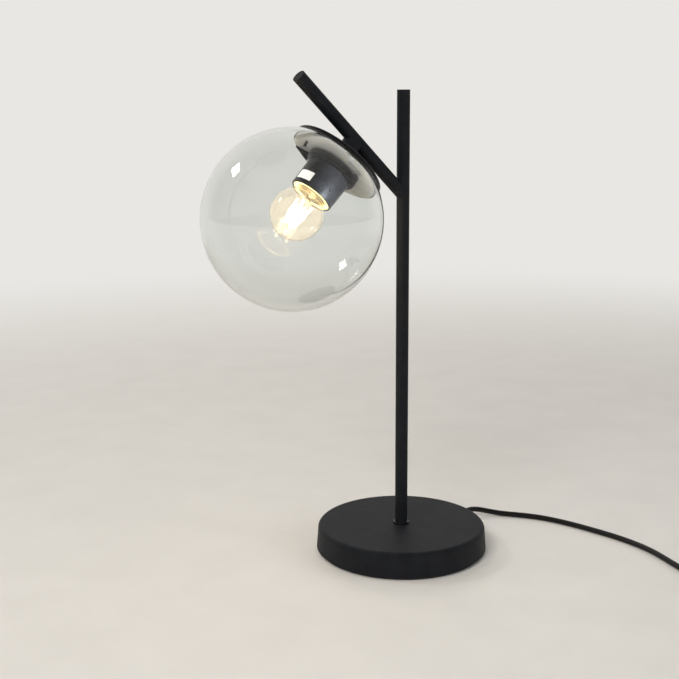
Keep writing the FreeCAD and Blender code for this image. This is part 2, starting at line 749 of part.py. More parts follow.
def make_head():
    """Neck, cap, glass, reflector, hook, latch and lampholder, all about the head's axis."""
    neck = cylinder(neck_radius, V(0, 0, 0), V(0, 0, cap_crown))
    neck = neck.cut(cylinder(head_nipple_radius, V(0, 0, -1), V(0, 0, cap_crown + 1)))
    wide = 2 * neck_radius
    arm_space = cylinder(tube_radius, V(-wide, 0, 0), V(wide, 0, 0))
    above = box_between(-wide, wide, -wide, wide, -wide, 0)
    neck = neck.cut(above).cut(arm_space)
    neck = max(neck.Solids, key=lambda solid: solid.Volume)
    keep("neck_sleeve", in_head(neck))
    nipple = ring(head_nipple_radius, head_nipple_bore, tube_radius + head_nipple_gap,
                  head_nut_end + head_nipple_stub)
    keep("head_nipple", in_head(nipple))
    keep("domed_cap", in_head(make_cap()))
    gasket = ring(cap_radius - gasket_inset, glass_opening_radius, cap_flange, glass_edge)
    keep("glass_gasket", in_head(gasket))
    keep("glass_globe", in_head(make_globe()))

    plate = cylinder(spigot_radius, V(0, 0, reflector_top), V(0, 0, reflector_bottom))
    edge = [e for e in plate.Edges if e.BoundBox.ZMin > reflector_bottom - 0.01]
    plate = plate.makeFillet(reflector_round, edge)
    plate = plate.cut(cylinder(head_nipple_radius, V(0, 0, 0), V(0, 0, holder_top)))
    slot = box_between(plate_slot_radius - plate_slot_width / 2, plate_slot_radius + plate_slot_width / 2,
                       -plate_slot_length / 2, plate_slot_length / 2,
                       reflector_top - 1, reflector_bottom + 1)
    for turn in slot_turns():
        plate = plate.cut(turned(slot, turn))
    keep("reflector_plate", in_head(plate))
    keep("globe_hook", in_head(make_hook()))
    latch, bead = make_latch()
    keep("globe_latch", in_head(latch))
    keep("latch_bead", in_head(bead))

    keep("holder_dome", in_head(make_holder_dome()))
    washer_top = holder_top + holder_wall
    nut_top = washer_top + washer_thickness
    lock_washers.append(in_head(ring(head_washer_radius, head_nipple_radius, washer_top, nut_top)))
    nut = hexagon(head_nut_flats, nut_top, nut_top + head_nut_height, head_nipple_radius)
    keep("head_nut", in_head(nut))

    barrel_inside = barrel_mouth_radius - barrel_wall
    barrel = revolve([
        (barrel_inside, holder_shoulder), (barrel_top_radius, holder_shoulder),
        (barrel_mouth_radius, holder_mouth - barrel_edge),
        (barrel_mouth_radius - barrel_edge, holder_mouth), (barrel_inside, holder_mouth),
    ])
    hole = cylinder(barrel_hole_radius, up(barrel_hole_depth), V(2 * barrel_top_radius, 0, barrel_hole_depth))
    keep("holder_barrel", in_head(barrel.cut(turned(hole, barrel_hole_turn))))

    carrier_bottom = carrier_top + carrier_floor
    carrier_radius = barrel_top_radius - holder_wall - hole_clearance
    collar_radius = barrel_inside - hole_clearance
    lip = holder_mouth - mouth_recess
    carrier = revolve([
        (0, carrier_top), (carrier_radius, carrier_top), (carrier_radius, holder_shoulder),
        (collar_radius, holder_shoulder), (collar_radius, lip - mouth_outer_chamfer),
        (collar_radius - mouth_outer_chamfer, lip),
        (mouth_bore_radius + mouth_inner_chamfer, lip), (mouth_bore_radius, lip - mouth_inner_chamfer),
        (mouth_bore_radius, lip - mouth_lip), (shell_outer, lip - mouth_lip),
        (shell_outer, carrier_bottom), (0, carrier_bottom),
    ])
    half = wire_radius + wire_room
    carrier = carrier.cut(box_between(-half, half, -terminal_place, terminal_place,
                                      carrier_top - 1, carrier_top + wire_depth + wire_radius + 0.1))
    heads = []
    for side in (-1, 1):
        start = V(0, side * terminal_place, carrier_top)
        carrier = carrier.cut(cylinder(terminal_radius, start - up(1), start + up(terminal_depth)))
        head = cylinder(terminal_radius, start, start + up(terminal_depth))
        slot = box_between(-terminal_radius, terminal_radius,
                           start.y - terminal_slot_width / 2, start.y + terminal_slot_width / 2,
                           carrier_top - 1, carrier_top + terminal_slot_depth)
        heads.append(in_head(head.cut(slot)))
    keep("holder_insulator", in_head(carrier))
    keep("holder_terminals", *heads)

    shell = ring(shell_outer, shell_outer - shell_sheet, carrier_bottom, lip - mouth_lip)
    keep("screw_shell", in_head(shell))
    leaf = box_between(-leaf_reach, leaf_tail, -leaf_width / 2, leaf_width / 2,
                       carrier_bottom, carrier_bottom + leaf_thickness)
    bump = cylinder(leaf_bump_radius, up(carrier_bottom), up(bulb_contact - contact_gap))
    keep("centre_contact", in_head(leaf.fuse(bump).removeSplitter()))


def make_label():
    """A blank sticker wrapped on the barrel near its mouth."""
    low = label_start
    high = label_start + label_length
    slope = (barrel_mouth_radius - barrel_top_radius) / (holder_mouth - barrel_edge - holder_shoulder)

    def skin(z):
        """The barrel's radius at a height."""
        return barrel_top_radius + slope * (z - holder_shoulder)

    band = revolve([
        (skin(low), low), (skin(low) + label_thickness, low),
        (skin(high) + label_thickness, high), (skin(high), high),
    ])
    start = up(low - 1)
    first = start + V(2 * barrel_top_radius, 0, 0)
    sweep = math.radians(label_sweep)
    second = start + V(math.cos(sweep), math.sin(sweep), 0) * (2 * barrel_top_radius)
    wedge = Part.Face(Part.makePolygon([start, first, second, start])).extrude(up(label_length + 2))
    return in_head(band.common(turned(wedge, label_turn)))


# ---- Bulb ----
def make_bulb():
    """Golf-ball bulb with a screw cap; its filaments stand round a glass stem."""
    neck_end = bulb_cap_end - bulb_skirt_height
    flare = math.radians(bulb_flare)

    def glass(skin, low):
        """The bulb's outline, a wall's thickness in from the outside: neck, flare and ball."""
        ball = bulb_radius - skin
        neck = bulb_neck_radius - skin
        bend = (bulb_radius * math.cos(flare) - bulb_neck_radius) / (1 - math.cos(flare)) + skin
        meet = (ball * math.cos(flare), bulb_centre - ball * math.sin(flare))
        start = (neck, meet[1] - bend * math.sin(flare))
        half = (neck + bend * (1 - math.cos(flare / 2)), start[1] + bend * math.sin(flare / 2))
        return spin([
            line((0, low), (neck, low)),
            line((neck, low), start),
            dome_arc(start, half, meet),
            dome_arc(meet, (ball, bulb_centre), (0, bulb_centre + ball)),
            line((0, bulb_centre + ball), (0, low)),
        ])

    outer = glass(0, neck_end)
    inner = glass(bulb_wall, neck_end - 1)
    keep("bulb_glass", in_head(outer.cut(inner)))

    crest = bulb_cap_radius
    root = bulb_cap_radius - thread_depth
    bore = root - bulb_cap_sheet
    points = [(bore, bulb_cap_top), (root, bulb_cap_top)]
    turns = int((bulb_cap_end - bulb_cap_plain - bulb_cap_top) / thread_pitch)
    for k in range(turns):
        ridge = bulb_cap_top + k * thread_pitch + thread_rise
        points += [
            (root, ridge), (crest, ridge + thread_flank), (crest, ridge + thread_flank + thread_crest),
            (root, ridge + 2 * thread_flank + thread_crest),
        ]
    points += [
        (root, neck_end - bulb_skirt_flank), (crest, neck_end), (crest, bulb_cap_end),
        (bulb_neck_radius, bulb_cap_end), (bulb_neck_radius, neck_end), (bore, neck_end),
    ]
    keep("bulb_screw_cap", in_head(revolve(points).cut(outer)))

    contact_back = bulb_contact + contact_height
    stem_low = bulb_cap_top + insulator_seat
    cone = revolve([
        (0, contact_back), (insulator_radius, contact_back), (bore, bulb_cap_top),
        (bore, stem_low), (0, stem_low),
    ])
    keep("bulb_insulator", in_head(cone))
    contact = cylinder(contact_radius, up(bulb_contact), up(contact_back))
    edge = [e for e in contact.Edges if e.BoundBox.ZMax < bulb_contact + 0.01]
    keep("bulb_centre_contact", in_head(contact.makeFillet(contact_round, edge)))

    stem_top = bulb_centre - stem_top_drop
    stem_foot = root - stem_gap
    stem = revolve([
        (0, stem_low), (stem_foot, stem_low), (stem_foot, neck_end - stem_gap),
        (stem_flare_radius, neck_end + stem_flare_height),
        (stem_waist_radius, neck_end + stem_waist_height), (stem_radius, stem_top), (0, stem_top),
    ])
    keep("bulb_stem", in_head(stem))

    low = V(filament_low_place, 0, bulb_centre - filament_length / 2)
    high = V(filament_high_place, 0, bulb_centre + filament_length / 2)
    rod = cylinder(filament_radius, low, high)
    hook = cylinder(hook_radius, V(stem_radius - 0.2, 0, stem_top - hook_depth), low)
    hook = max(hook.cut(rod).cut(stem).Solids, key=lambda solid: solid.Volume)
    turns = [filament_turn + k * 360 / filament_count for k in range(filament_count)]
    rods = [in_head(turned(rod, turn)) for turn in turns]
    hooks = [in_head(turned(hook, turn)) for turn in turns]
    keep("bulb_filaments", *rods, *hooks)


# ---- Cord ----
floor_z = cord_radius + floor_gap
relief_end = relief_start + relief_length
relief_tip = along_cord(relief_end, cord_exit_height)

# The cord's points from the strain relief to the switch, as it lies on the table.
route_to_switch = [
    relief_tip,
    along_cord(relief_end + 7.3, cord_exit_height),
    V(107.1, 26.6, 7.8),
    V(114.8, 24.4, 6.0),
    V(122.4, 19.6, 4.1),
    V(130.6, 12.4, floor_z + 0.2),
    V(142.0, 0.8, floor_z),
    V(155.2, -16.0, floor_z),
    V(166.0, -41.0, floor_z),
    V(174.4, -72.0, floor_z),
    V(180.6, -102.0, floor_z),
    V(181.6, -134.0, floor_z),
    V(175.0, -164.0, floor_z),
    V(170.6, -186.0, floor_z),
    V(173.6, -203.0, floor_z + 0.8),
    V(182.0, -216.5, floor_z + 2.6),
]
switch_heading = math.radians(-14.0)
switch_out = V(math.cos(switch_heading), math.sin(switch_heading), 0)
switch_start = V(204.0, -226.8, 0)
coil_bottom = floor_z + coil_lift
coil_top = coil_bottom + coil_layer


def switch_point(distance, height):
    """A point along the switch, from where its first sleeve starts."""
    return switch_start + switch_out * distance + up(height)


def coil_point(turn):
    """A point of the coil's centreline: in at a steady rate, a climb in half a turn, and out again."""
    rate = coil_pitch / (2 * math.pi)
    inward = coil_turns_in * 2 * math.pi
    if turn <= inward:
        radius = coil_radius - rate * turn
        height = coil_bottom
    elif turn <= inward + math.pi:
        past = turn - inward
        radius = coil_radius - rate * inward - rate * past + rate / math.pi * past ** 2
        share = past / math.pi
        height = coil_bottom + coil_layer * (3 * share ** 2 - 2 * share ** 3)
    else:
        past = turn - inward - math.pi
        radius = coil_radius - rate * inward + rate * past
        height = coil_top
    angle = math.radians(coil_start) + turn
    return coil_centre + V(radius * math.cos(angle), radius * math.sin(angle), height)


def coil_tangent(turn):
    """The way that the coil's centreline runs at a turn."""
    step = 1e-4
    way = coil_point(turn + step) - coil_point(turn - step)
    way.z = 0 if abs(way.z) < 1e-9 else way.z
    way.normalize()
    return way


def biarc(start, start_way, end, end_way):
    """Two arcs that leave a point one way, meet smoothly and reach another point another way."""
    chord = end - start
    both = start_way + end_way
    a = 2 * (1 - start_way.dot(end_way))
    b = 2 * chord.dot(both)
    c = -chord.dot(chord)
    reach = (-b + math.sqrt(b * b - 4 * a * c)) / (2 * a)
    meet = (start + end + (start_way - end_way) * reach) * 0.5

    def arc(point, way, other):
        """An arc from a point along its tangent to another point."""
        across = other - point
        normal = across - way * across.dot(way)
        radius = across.dot(across) / (2 * normal.Length)
        normal.normalize()
        centre = point + normal * radius
        middle = (point + other) * 0.5 - centre
        middle.normalize()
        return Part.Arc(point, centre + middle * radius, other).toShape()

    return [arc(start, start_way, meet), arc(end, end_way * -1, meet)]


def make_coil():
    """The put-away turns: one unbroken tube in two layers."""
    total = coil_turns_in * 4 * math.pi + math.pi
    quarters = math.ceil(total / (math.pi / 2))
    stops = [total * k / quarters for k in range(quarters + 1)]
    edges = []
    for first, second in zip(stops, stops[1:]):
        edges += biarc(coil_point(first), coil_tangent(first), coil_point(second), coil_tangent(second))
    path = Part.Wire(Part.__sortEdges__(edges))
    steps = 700
    samples = [coil_point(total * k / steps) for k in range(steps + 1)]
    lap = int(steps * math.pi / total)
    least = min(
        (samples[i] - samples[j]).Length
        for i in range(0, steps, 2)
        for j in range(i + lap, steps + 1, 2)
    )
    print("coil turns", round(total / (2 * math.pi), 2), "least gap", round(least - 2 * cord_radius, 2))
    return sweep_round(path, cord_radius, "cord_coil"), total


def make_cord():
    """The cord's free stretches, its coil and what is on it."""
    inner_end = block_start + block_length
    keep("cord_in_base", cylinder(cord_radius, along_cord(inner_end, cord_exit_height), relief_tip))
    face = relief_flange_face - relief_start
    back = relief_back - relief_start
    sleeve = revolve([
        (cord_radius, back), (relief_flange_radius, back), (relief_flange_radius, face),
        (relief_neck_radius, face), (relief_neck_radius, 0.0),
        (relief_root_radius, 0.0), (relief_root_radius, relief_collar),
        (relief_root_radius - relief_step, relief_collar + relief_step),
        (relief_tip_radius, relief_length), (cord_radius, relief_length),
    ])
    sleeve.rotate(V(0, 0, 0), V(0, 1, 0), 90)
    sleeve.rotate(V(0, 0, 0), V(0, 0, 1), cord_turn)
    sleeve.translate(along_cord(relief_start, cord_exit_height))
    keep("cord_strain_relief", sleeve)

    first = route_to_switch + [switch_point(-9, switch_axis_height), switch_point(0, switch_axis_height)]
    keep("power_cord", sweep_round(rounded_path(first, label="power_cord"), cord_radius, "power_cord"))

    coil, total = make_coil()
    keep("cord_coil", coil)
    switch_total = switch_length + 2 * switch_relief
    entry = coil_point(0)
    entry_way = coil_tangent(0)
    second = [
        switch_point(switch_total, switch_axis_height),
        switch_point(switch_total + 9, switch_axis_height),
        V(304.2, -247.9, 5.4),
        V(313.5, -242.5, 4.2),
        V(320.1, -233.1, coil_bottom),
        V(322.3, -220.3, coil_bottom),
        V(319.3, -206.3, coil_bottom),
        entry - entry_way * 15,
        entry,
    ]
    keep("cord_to_coil", sweep_round(rounded_path(second, label="cord_to_coil"), cord_radius, "cord_to_coil"))

    leave = coil_point(total)
    leave_way = coil_tangent(total)
    third = [
        leave,
        leave + leave_way * 8,
        leave + leave_way * 17 + up(0.9) + V(0.3, 0, 0),
        leave + leave_way * 26 + up(0.3) + V(-0.2, 0.4, 0),
        plug_point(-plug_relief - 9, plug_axis_height),
        plug_point(-plug_relief, plug_axis_height),
    ]
    keep("plug_cord", sweep_round(rounded_path(third, label="plug_cord"), cord_radius, "plug_cord"))
    make_tie()


plug_axis_height = plug_height / 2 + floor_gap
plug_heading = math.radians(66.0)
plug_out = V(math.cos(plug_heading), math.sin(plug_heading), 0)
plug_start = V(332.0, -139.0, 0)


def plug_point(distance, height):
    """A point along the plug, from the back of its body."""
    return plug_start + plug_out * distance + up(height)


def make_tie():
    """A strap round the bundle of turns."""
    inward = coil_radius - coil_pitch * coil_turns_in - cord_radius - tie_inner_gap
    outward = coil_radius + coil_pitch / 2 + cord_radius + tie_outer_gap
    high = coil_top + cord_radius + tie_gap
    outer = box_between(inward - tie_sheet, outward + tie_sheet, -tie_width / 2, tie_width / 2,
                        floor_gap, high + tie_sheet)
    inner = box_between(inward, outward, -tie_width, tie_width, floor_gap + tie_sheet, high)
    tie = outer.cut(inner)
    tie = turned(tie, tie_turn)
    tie.translate(coil_centre)
    keep("cord_tie", tie)


def oval_block(length, width, low, high, round_radius):
    """A flat block with rounded ends, lying along X from zero."""
    block = box_between(0, length, -width / 2, width / 2, low, high)
    upright = [e for e in block.Edges if abs(e.BoundBox.ZLength - (high - low)) < 0.01]
    return block.makeFillet(round_radius, upright)


def make_switch():
    """An in-line switch: two shells, a rocker on its pin, contacts, screws and sleeves."""
    length = switch_length
    centre = length / 2
    inside_low = floor_gap + switch_wall
    inside_high = switch_height - switch_wall
    lower = oval_block(length, switch_width, floor_gap, switch_split, switch_corner)
    upper = oval_block(length, switch_width, switch_split, switch_height, switch_corner)
    rim = [e for e in upper.Edges if e.BoundBox.ZMin > switch_height - 0.01]
    upper = upper.makeFillet(switch_top_round, rim)
    rim = [e for e in lower.Edges if e.BoundBox.ZMax < floor_gap + 0.01]
    lower = lower.makeFillet(switch_low_round, rim)
    end_block = switch_wall + switch_end_block
    cavity = oval_block(length - 2 * end_block, switch_width - 2 * (switch_wall + switch_side_block),
                        inside_low, inside_high, cavity_corner)
    cavity.translate(V(end_block, 0, 0))

    half_length = rocker_length / 2
    half_width = rocker_width / 2
    window_length = half_length + rocker_clearance
    window_width = half_width + rocker_clearance
    window = box_between(centre - window_length, centre + window_length, -window_width, window_width,
                         switch_split, switch_height + 1)
    pivot = V(centre, 0, switch_height - rocker_pin_depth)
    pin_end = V(0, switch_width / 2 - switch_wall - rocker_pin_inset, 0)
    pin = cylinder(rocker_pin_radius, pivot - pin_end, pivot + pin_end)
    cheeks = box_between(centre - cheek_length / 2, centre + cheek_length / 2,
                         -pin_end.y - cheek_margin, pin_end.y + cheek_margin,
                         pivot.z - rocker_pin_depth, inside_high)
    cord_bore = cylinder(cord_radius, V(-1, 0, switch_axis_height), V(length + 1, 0, switch_axis_height))
    screws = []
    bores = []
    for side in (-1, 1):
        spot = V(centre + side * (length / 2 - switch_screw_inset_x),
                 side * (switch_width / 2 - switch_screw_inset_y), 0)
        seat = spot + up(switch_screw_seat)
        shank = cylinder(switch_screw_radius, seat, spot + up(switch_height - switch_screw_end))
        head = cylinder(switch_screw_head, spot + up(switch_screw_low), seat)
        slot = box_between(spot.x - 3, spot.x + 3, spot.y - 0.35, spot.y + 0.35, 0, 1.0)
        screws.append(head.fuse(shank).cut(slot))
        bores.append(cylinder(switch_screw_head, spot - up(1), seat).fuse(shank))
    lower = lower.cut(cavity).cut(cord_bore)
    upper = upper.cut(cavity).fuse(cheeks).removeSplitter().cut(window).cut(pin).cut(cord_bore)
    for bore in bores:
        lower = lower.cut(bore)
        upper = upper.cut(bore)

    bottom = pivot.z - rocker_depth
    top = switch_height + rocker_rise
    side_profile = [
        line((-half_length, bottom), (half_length, bottom)),
        line((half_length, bottom), (half_length, top)),
        dome_arc((half_length, top), (0, top - rocker_dish), (-half_length, top)),
        line((-half_length, top), (-half_length, bottom)),
    ]
    rocker = Part.Face(Part.Wire(side_profile)).extrude(V(0, rocker_width, 0))
    rocker.translate(V(centre, -half_width, 0))
    across = V(0, half_width, 0)
    rocker = rocker.common(cylinder(half_length - 0.1, pivot - across, pivot + across))
    rocker = rocker.cut(cylinder(rocker_pin_radius + pin_clearance, pivot - across * 2, pivot + across * 2))
    rocker.rotate(pivot, V(0, 1, 0), rocker_range / 2)

    contacts = []
    half = contact_width / 2
    for side in (-1, 1):
        middle = centre + side * contact_place
        strip = box_between(middle - contact_length / 2, middle + contact_length / 2, -half, half,
                            inside_low, inside_low + contact_sheet)
        post = box_between(middle - contact_post / 2, middle + contact_post / 2, -half, half,
                           inside_low, inside_low + contact_post_height)
        contacts.append(strip.fuse(post).removeSplitter())

    def place(shape):
        """Turns a switch piece to where the switch lies."""
        copy = shape.copy()
        copy.translate(V(switch_relief, 0, 0))
        copy.rotate(V(0, 0, 0), V(0, 0, 1), math.degrees(switch_heading))
        copy.translate(switch_start)
        return copy

    sleeves = []
    for end, way in ((0.0, -1), (length, 1)):
        sleeve = revolve([
            (cord_radius, 0), (sleeve_root_radius, 0), (sleeve_root_radius, sleeve_collar),
            (sleeve_tip_radius, switch_relief), (cord_radius, switch_relief),
        ])
        sleeve.rotate(V(0, 0, 0), V(0, 1, 0), 90 * way)
        sleeve.translate(V(end, 0, switch_axis_height))
        sleeves.append(place(sleeve))
    for low, high in ((-switch_relief, end_block), (length - end_block, length + switch_relief)):
        stub = cylinder(cord_radius, V(low, 0, switch_axis_height), V(high, 0, switch_axis_height))
        inner_cords.append(place(stub))
    keep("switch_lower_shell", place(lower))
    keep("switch_upper_shell", place(upper))
    keep("switch_rocker", place(rocker))
    keep("rocker_pin", place(pin))
    keep("switch_contacts", *[place(contact) for contact in contacts])
    keep("switch_screws", *[place(screw) for screw in screws])
    keep("switch_sleeves", *sleeves)
    print("rocker pivot", place(Part.Vertex(pivot)).Point)


def make_plug():
    """A flat two-pin plug, moulded on the cord."""
    length = plug_length
    half = plug_width / 2
    back = half - plug_back_inset
    front = half - plug_front_inset
    bulge = V(length * plug_bulge_place, half - plug_bulge_inset, floor_gap)
    shoulder = V(length * plug_shoulder_place, half, floor_gap)

    def mirrored(point):
        """The same point on the plug's other side."""
        return V(point.x, -point.y, point.z)

    corners = [V(0, back, floor_gap), V(length, front, floor_gap)]
    outline = Part.Wire([
        Part.LineSegment(mirrored(corners[0]), corners[0]).toShape(),
        Part.Arc(corners[0], bulge, shoulder).toShape(),
        Part.LineSegment(shoulder, corners[1]).toShape(),
        Part.LineSegment(corners[1], mirrored(corners[1])).toShape(),
        Part.LineSegment(mirrored(corners[1]), mirrored(shoulder)).toShape(),
        Part.Arc(mirrored(shoulder), mirrored(bulge), mirrored(corners[0])).toShape(),
    ])
    body = Part.Face(outline).extrude(up(plug_height))
    flat = [e for e in body.Edges if e.BoundBox.ZLength < 0.01 and e.BoundBox.XMax < length - 0.01]
    body = body.makeChamfer(plug_chamfer, [e for e in flat if e.BoundBox.XLength > 1])
    relief = revolve([
        (cord_radius, 0), (plug_relief_root, 0), (plug_relief_collar, plug_relief_collar_length),
        (relief_tip_radius, plug_relief), (cord_radius, plug_relief),
    ])
    relief.rotate(V(0, 0, 0), V(0, 1, 0), -90)
    relief.translate(up(plug_axis_height))
    stub = cylinder(cord_radius, V(-plug_relief, 0, plug_axis_height), V(0, 0, plug_axis_height))
    pins = []
    for side in (-1, 1):
        root = V(length, side * plug_pin_spacing / 2, plug_axis_height)
        pin = cylinder(plug_pin_radius, root, root + V(plug_pin_length, 0, 0))
        tip = [e for e in pin.Edges if e.BoundBox.XMin > length + plug_pin_length - 0.01]
        pins.append(pin.makeFillet(plug_pin_round, tip))

    def place(shape):
        """Turns a plug piece to where the plug lies."""
        copy = shape.copy()
        copy.rotate(V(0, 0, 0), V(0, 0, 1), math.degrees(plug_heading))
        copy.translate(plug_start)
        return copy

    keep("plug_body", place(body))
    keep("plug_strain_relief", place(relief))
    inner_cords.append(place(stub))
    keep("plug_pins", *[place(pin) for pin in pins])


# ---- Inner wires ----
def make_wires():
    """Two insulated wires from the terminal block up the post and along the arm to the holder."""
    low = plate_top + wire_floor_gap + wire_radius
    seat = carrier_top + wire_depth
    for name, side in (("live_wire", -1), ("neutral_wire", 1)):
        off = side * wire_spacing / 2
        across = V(0, off, 0)
        beside = cord_side * (side * block_width / 4)
        points = [
            along_cord(block_start, cord_exit_height) + beside,
            along_cord(block_start - 5, cord_exit_height) + beside,
            along_cord(13.0, low + 0.1) + cord_side * off,
            along_cord(1.0, low) + across,
            across + up(low + 12),
            across + V(0.1, 0, junction_height - 8),
            across + junction + arm_direction * 12,
            across + head_origin - arm_direction * 0.1,
            head_point(0.05, off, 14),
            head_point(0, off, seat),
            head_point(0, side * (terminal_place - terminal_radius - 0.1), seat),
        ]
        path = rounded_path(points, wire_bends)
        keep(name, sweep_round(path, wire_radius, name))


make_base()
make_stem()
make_head()
keep("blank_label", make_label())
make_bulb()
make_cord()
make_switch()
make_plug()
make_wires()
keep("lock_washers", *lock_washers)
keep("cord_inner_ends", *inner_cords)

os.makedirs("parts", exist_ok=True)
for name, solids in NODES.items():
    shape = solids[0] if len(solids) == 1 else Part.makeCompound(solids)
    if not shape.isValid() or len(shape.Solids) != len(solids):
        print("check", name, len(shape.Solids), "solids, valid", shape.isValid())
    shape.exportStep(os.path.join("parts", name + ".step"))
print("nodes", len(NODES))
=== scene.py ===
# %% [markdown]
# # A glass globe table lamp, dressed for its picture
# The lamp's solid parts are already made, at their real size, in a shared frame: metres, +Z up,
# and the origin on the table, on the post's axis. This file gives them their finishes and adds what
# solids do badly: blown glass, a screw thread, glowing filaments and a flexible cord.
# It begins by loading the solids, which stay exactly where they are.

# %% Load the lamp's solids
import json
import math

import bmesh
import bpy
import numpy as np
from mathutils import Matrix


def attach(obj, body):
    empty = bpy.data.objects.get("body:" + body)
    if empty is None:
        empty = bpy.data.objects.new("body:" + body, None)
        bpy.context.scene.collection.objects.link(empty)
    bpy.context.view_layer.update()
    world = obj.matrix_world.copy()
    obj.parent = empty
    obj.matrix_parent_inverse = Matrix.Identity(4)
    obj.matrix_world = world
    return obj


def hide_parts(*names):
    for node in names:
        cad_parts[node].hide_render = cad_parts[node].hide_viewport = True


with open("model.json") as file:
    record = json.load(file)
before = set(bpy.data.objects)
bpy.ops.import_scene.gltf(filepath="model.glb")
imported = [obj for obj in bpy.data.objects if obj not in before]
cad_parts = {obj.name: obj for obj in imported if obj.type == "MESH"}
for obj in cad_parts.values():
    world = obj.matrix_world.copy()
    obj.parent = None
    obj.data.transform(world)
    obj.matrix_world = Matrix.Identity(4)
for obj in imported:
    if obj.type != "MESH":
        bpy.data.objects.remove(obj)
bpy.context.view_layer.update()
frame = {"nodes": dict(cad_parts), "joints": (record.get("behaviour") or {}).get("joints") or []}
MM = 0.001

# %% [markdown]
# ## The camera
# A photograph fixes where its camera stood: the base's ellipse gives the pitch, and the size of known
# things gives the distance. A camera object looks down its own -Z, so its three axes are written as
# the columns of a matrix: right, up, and back towards the photographer.

# %% Camera where the photograph was taken
image_side = 679
focal_px = 1191.63
camera_pitch = math.radians(11.93)
camera_roll = math.radians(-0.36)
camera_heading = np.array([0.5313, 0.8472, 0.0])
camera_place = np.array([-598.59, -839.96, 412.82]) * MM
centre_offset_px = 6.24

level_right = np.array([camera_heading[1], -camera_heading[0], 0.0])
level_up = np.array([0.0, 0.0, math.cos(camera_pitch)]) + camera_heading * math.sin(camera_pitch)
look = camera_heading * math.cos(camera_pitch) - np.array([0.0, 0.0, math.sin(camera_pitch)])
right = level_right * math.cos(camera_roll) + level_up * math.sin(camera_roll)
upward = level_up * math.cos(camera_roll) - level_right * math.sin(camera_roll)

camera_data = bpy.data.cameras.new("camera")
camera_data.sensor_width = 36.0
camera_data.lens = focal_px * camera_data.sensor_width / image_side
camera_data.shift_x = centre_offset_px / image_side
camera_data.clip_start = 0.01
camera = bpy.data.objects.new("camera", camera_data)
pose = np.eye(4)
pose[:3, 0] = right
pose[:3, 1] = upward
pose[:3, 2] = -look
pose[:3, 3] = camera_place
camera.matrix_world = Matrix(pose.tolist())
bpy.context.scene.collection.objects.link(camera)
bpy.context.scene.camera = camera
print("lens", round(camera_data.lens, 2), "mm")

# %% [markdown]
# ## The head's own axes
# The globe, the lampholder and the bulb are round shapes that share one slanted axis. The globe's joint
# gives that axis and the globe's centre, so nothing has to be measured twice. `head_points` takes points
# given as (up the arm, across, along the head's axis) and puts them in the lamp's frame.

# %% Head frame from the globe's joint
globe_joint = next(joint for joint in frame["joints"] if joint["name"] == "globe_slide")
head_axis = np.array(globe_joint["axis"], float)
head_axis /= np.linalg.norm(head_axis)
across_axis = np.array([0.0, 1.0, 0.0])
arm_axis = np.cross(across_axis, head_axis)
globe_centre_depth = 87.7
head_origin = np.array(globe_joint["pos_m"], float) - head_axis * globe_centre_depth * MM


def head_points(points):
    """Points in millimetres in the head's frame, as an array of metres in the lamp's frame."""
    points = np.asarray(points, float) * MM
    axes = np.array([arm_axis, across_axis, head_axis])
    return head_origin + points @ axes


print("globe centre", np.round(head_points([0, 0, globe_centre_depth]), 4))

# %% [markdown]
# ## Surfaces from arrays
# A surface is a grid of points: one way along a profile, the other way round or along something.
# `grid_mesh` joins such a grid into four-sided faces. Where a row of the grid shrinks to a point, as at
# a ball's pole, its doubles are merged, and the four-sided faces there become triangles.

# %% Grid meshes
merge_distance = 1e-7
sharp_edge = math.radians(40)


def grid_mesh(name, rows, close_rows=False):
    """Faces over a grid of points (m, n, 3), closed round n, and round m too with close_rows.

    Point (i, j) is joined with (i, j + 1), (i + 1, j + 1) and (i + 1, j), where j + 1 wraps to 0.
    """
    m, n = rows.shape[:2]
    index = np.arange(m * n).reshape(m, n)
    first = index if close_rows else index[:-1]
    second = np.roll(index, -1, axis=0) if close_rows else index[1:]
    quads = np.stack([first, np.roll(first, -1, 1), np.roll(second, -1, 1), second], axis=-1)
    mesh = bpy.data.meshes.new(name)
    mesh.from_pydata(rows.reshape(-1, 3).tolist(), [], quads.reshape(-1, 4).tolist())
    work = bmesh.new()
    work.from_mesh(mesh)
    bmesh.ops.remove_doubles(work, verts=work.verts, dist=merge_distance)
    bmesh.ops.recalc_face_normals(work, faces=work.faces)
    work.to_mesh(mesh)
    work.free()
    mesh.shade_smooth()
    mesh.set_sharp_from_angle(angle=sharp_edge)
    return mesh


# %% Lathed shapes and arcs


def lathe(profile, segments):
    """Turns (radius, height) points about the third axis: x = r cos t, y = r sin t, z = height."""
    profile = np.asarray(profile, float)
    turn = np.linspace(0, 2 * math.pi, segments, endpoint=False)
    radius, height = profile[:, :1], profile[:, 1:]
    return np.stack([radius * np.cos(turn), radius * np.sin(turn), height + 0 * turn], axis=-1)


def arc_points(centre, radius, start_degrees, end_degrees, count):
    """Points on a circle in the (radius, height) plane: centre + radius * (cos t, sin t)."""
    turn = np.radians(np.linspace(start_degrees, end_degrees, count))
    return np.stack([centre[0] + radius * np.cos(turn), centre[1] + radius * np.sin(turn)], axis=-1)


print("a lathe's grid of 2 points by 8 steps", lathe([[1, 0], [1, 1]], 8).shape)

# %% Pieces that ride on the lamp


def add_piece(name, mesh, body, replaced=()):
    """Links a mesh as a piece of the lamp, riding on a body in place of some solids."""
    piece = bpy.data.objects.new(name, mesh)
    bpy.context.scene.collection.objects.link(piece)
    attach(piece, body)
    if replaced:
        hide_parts(*replaced)
    return piece


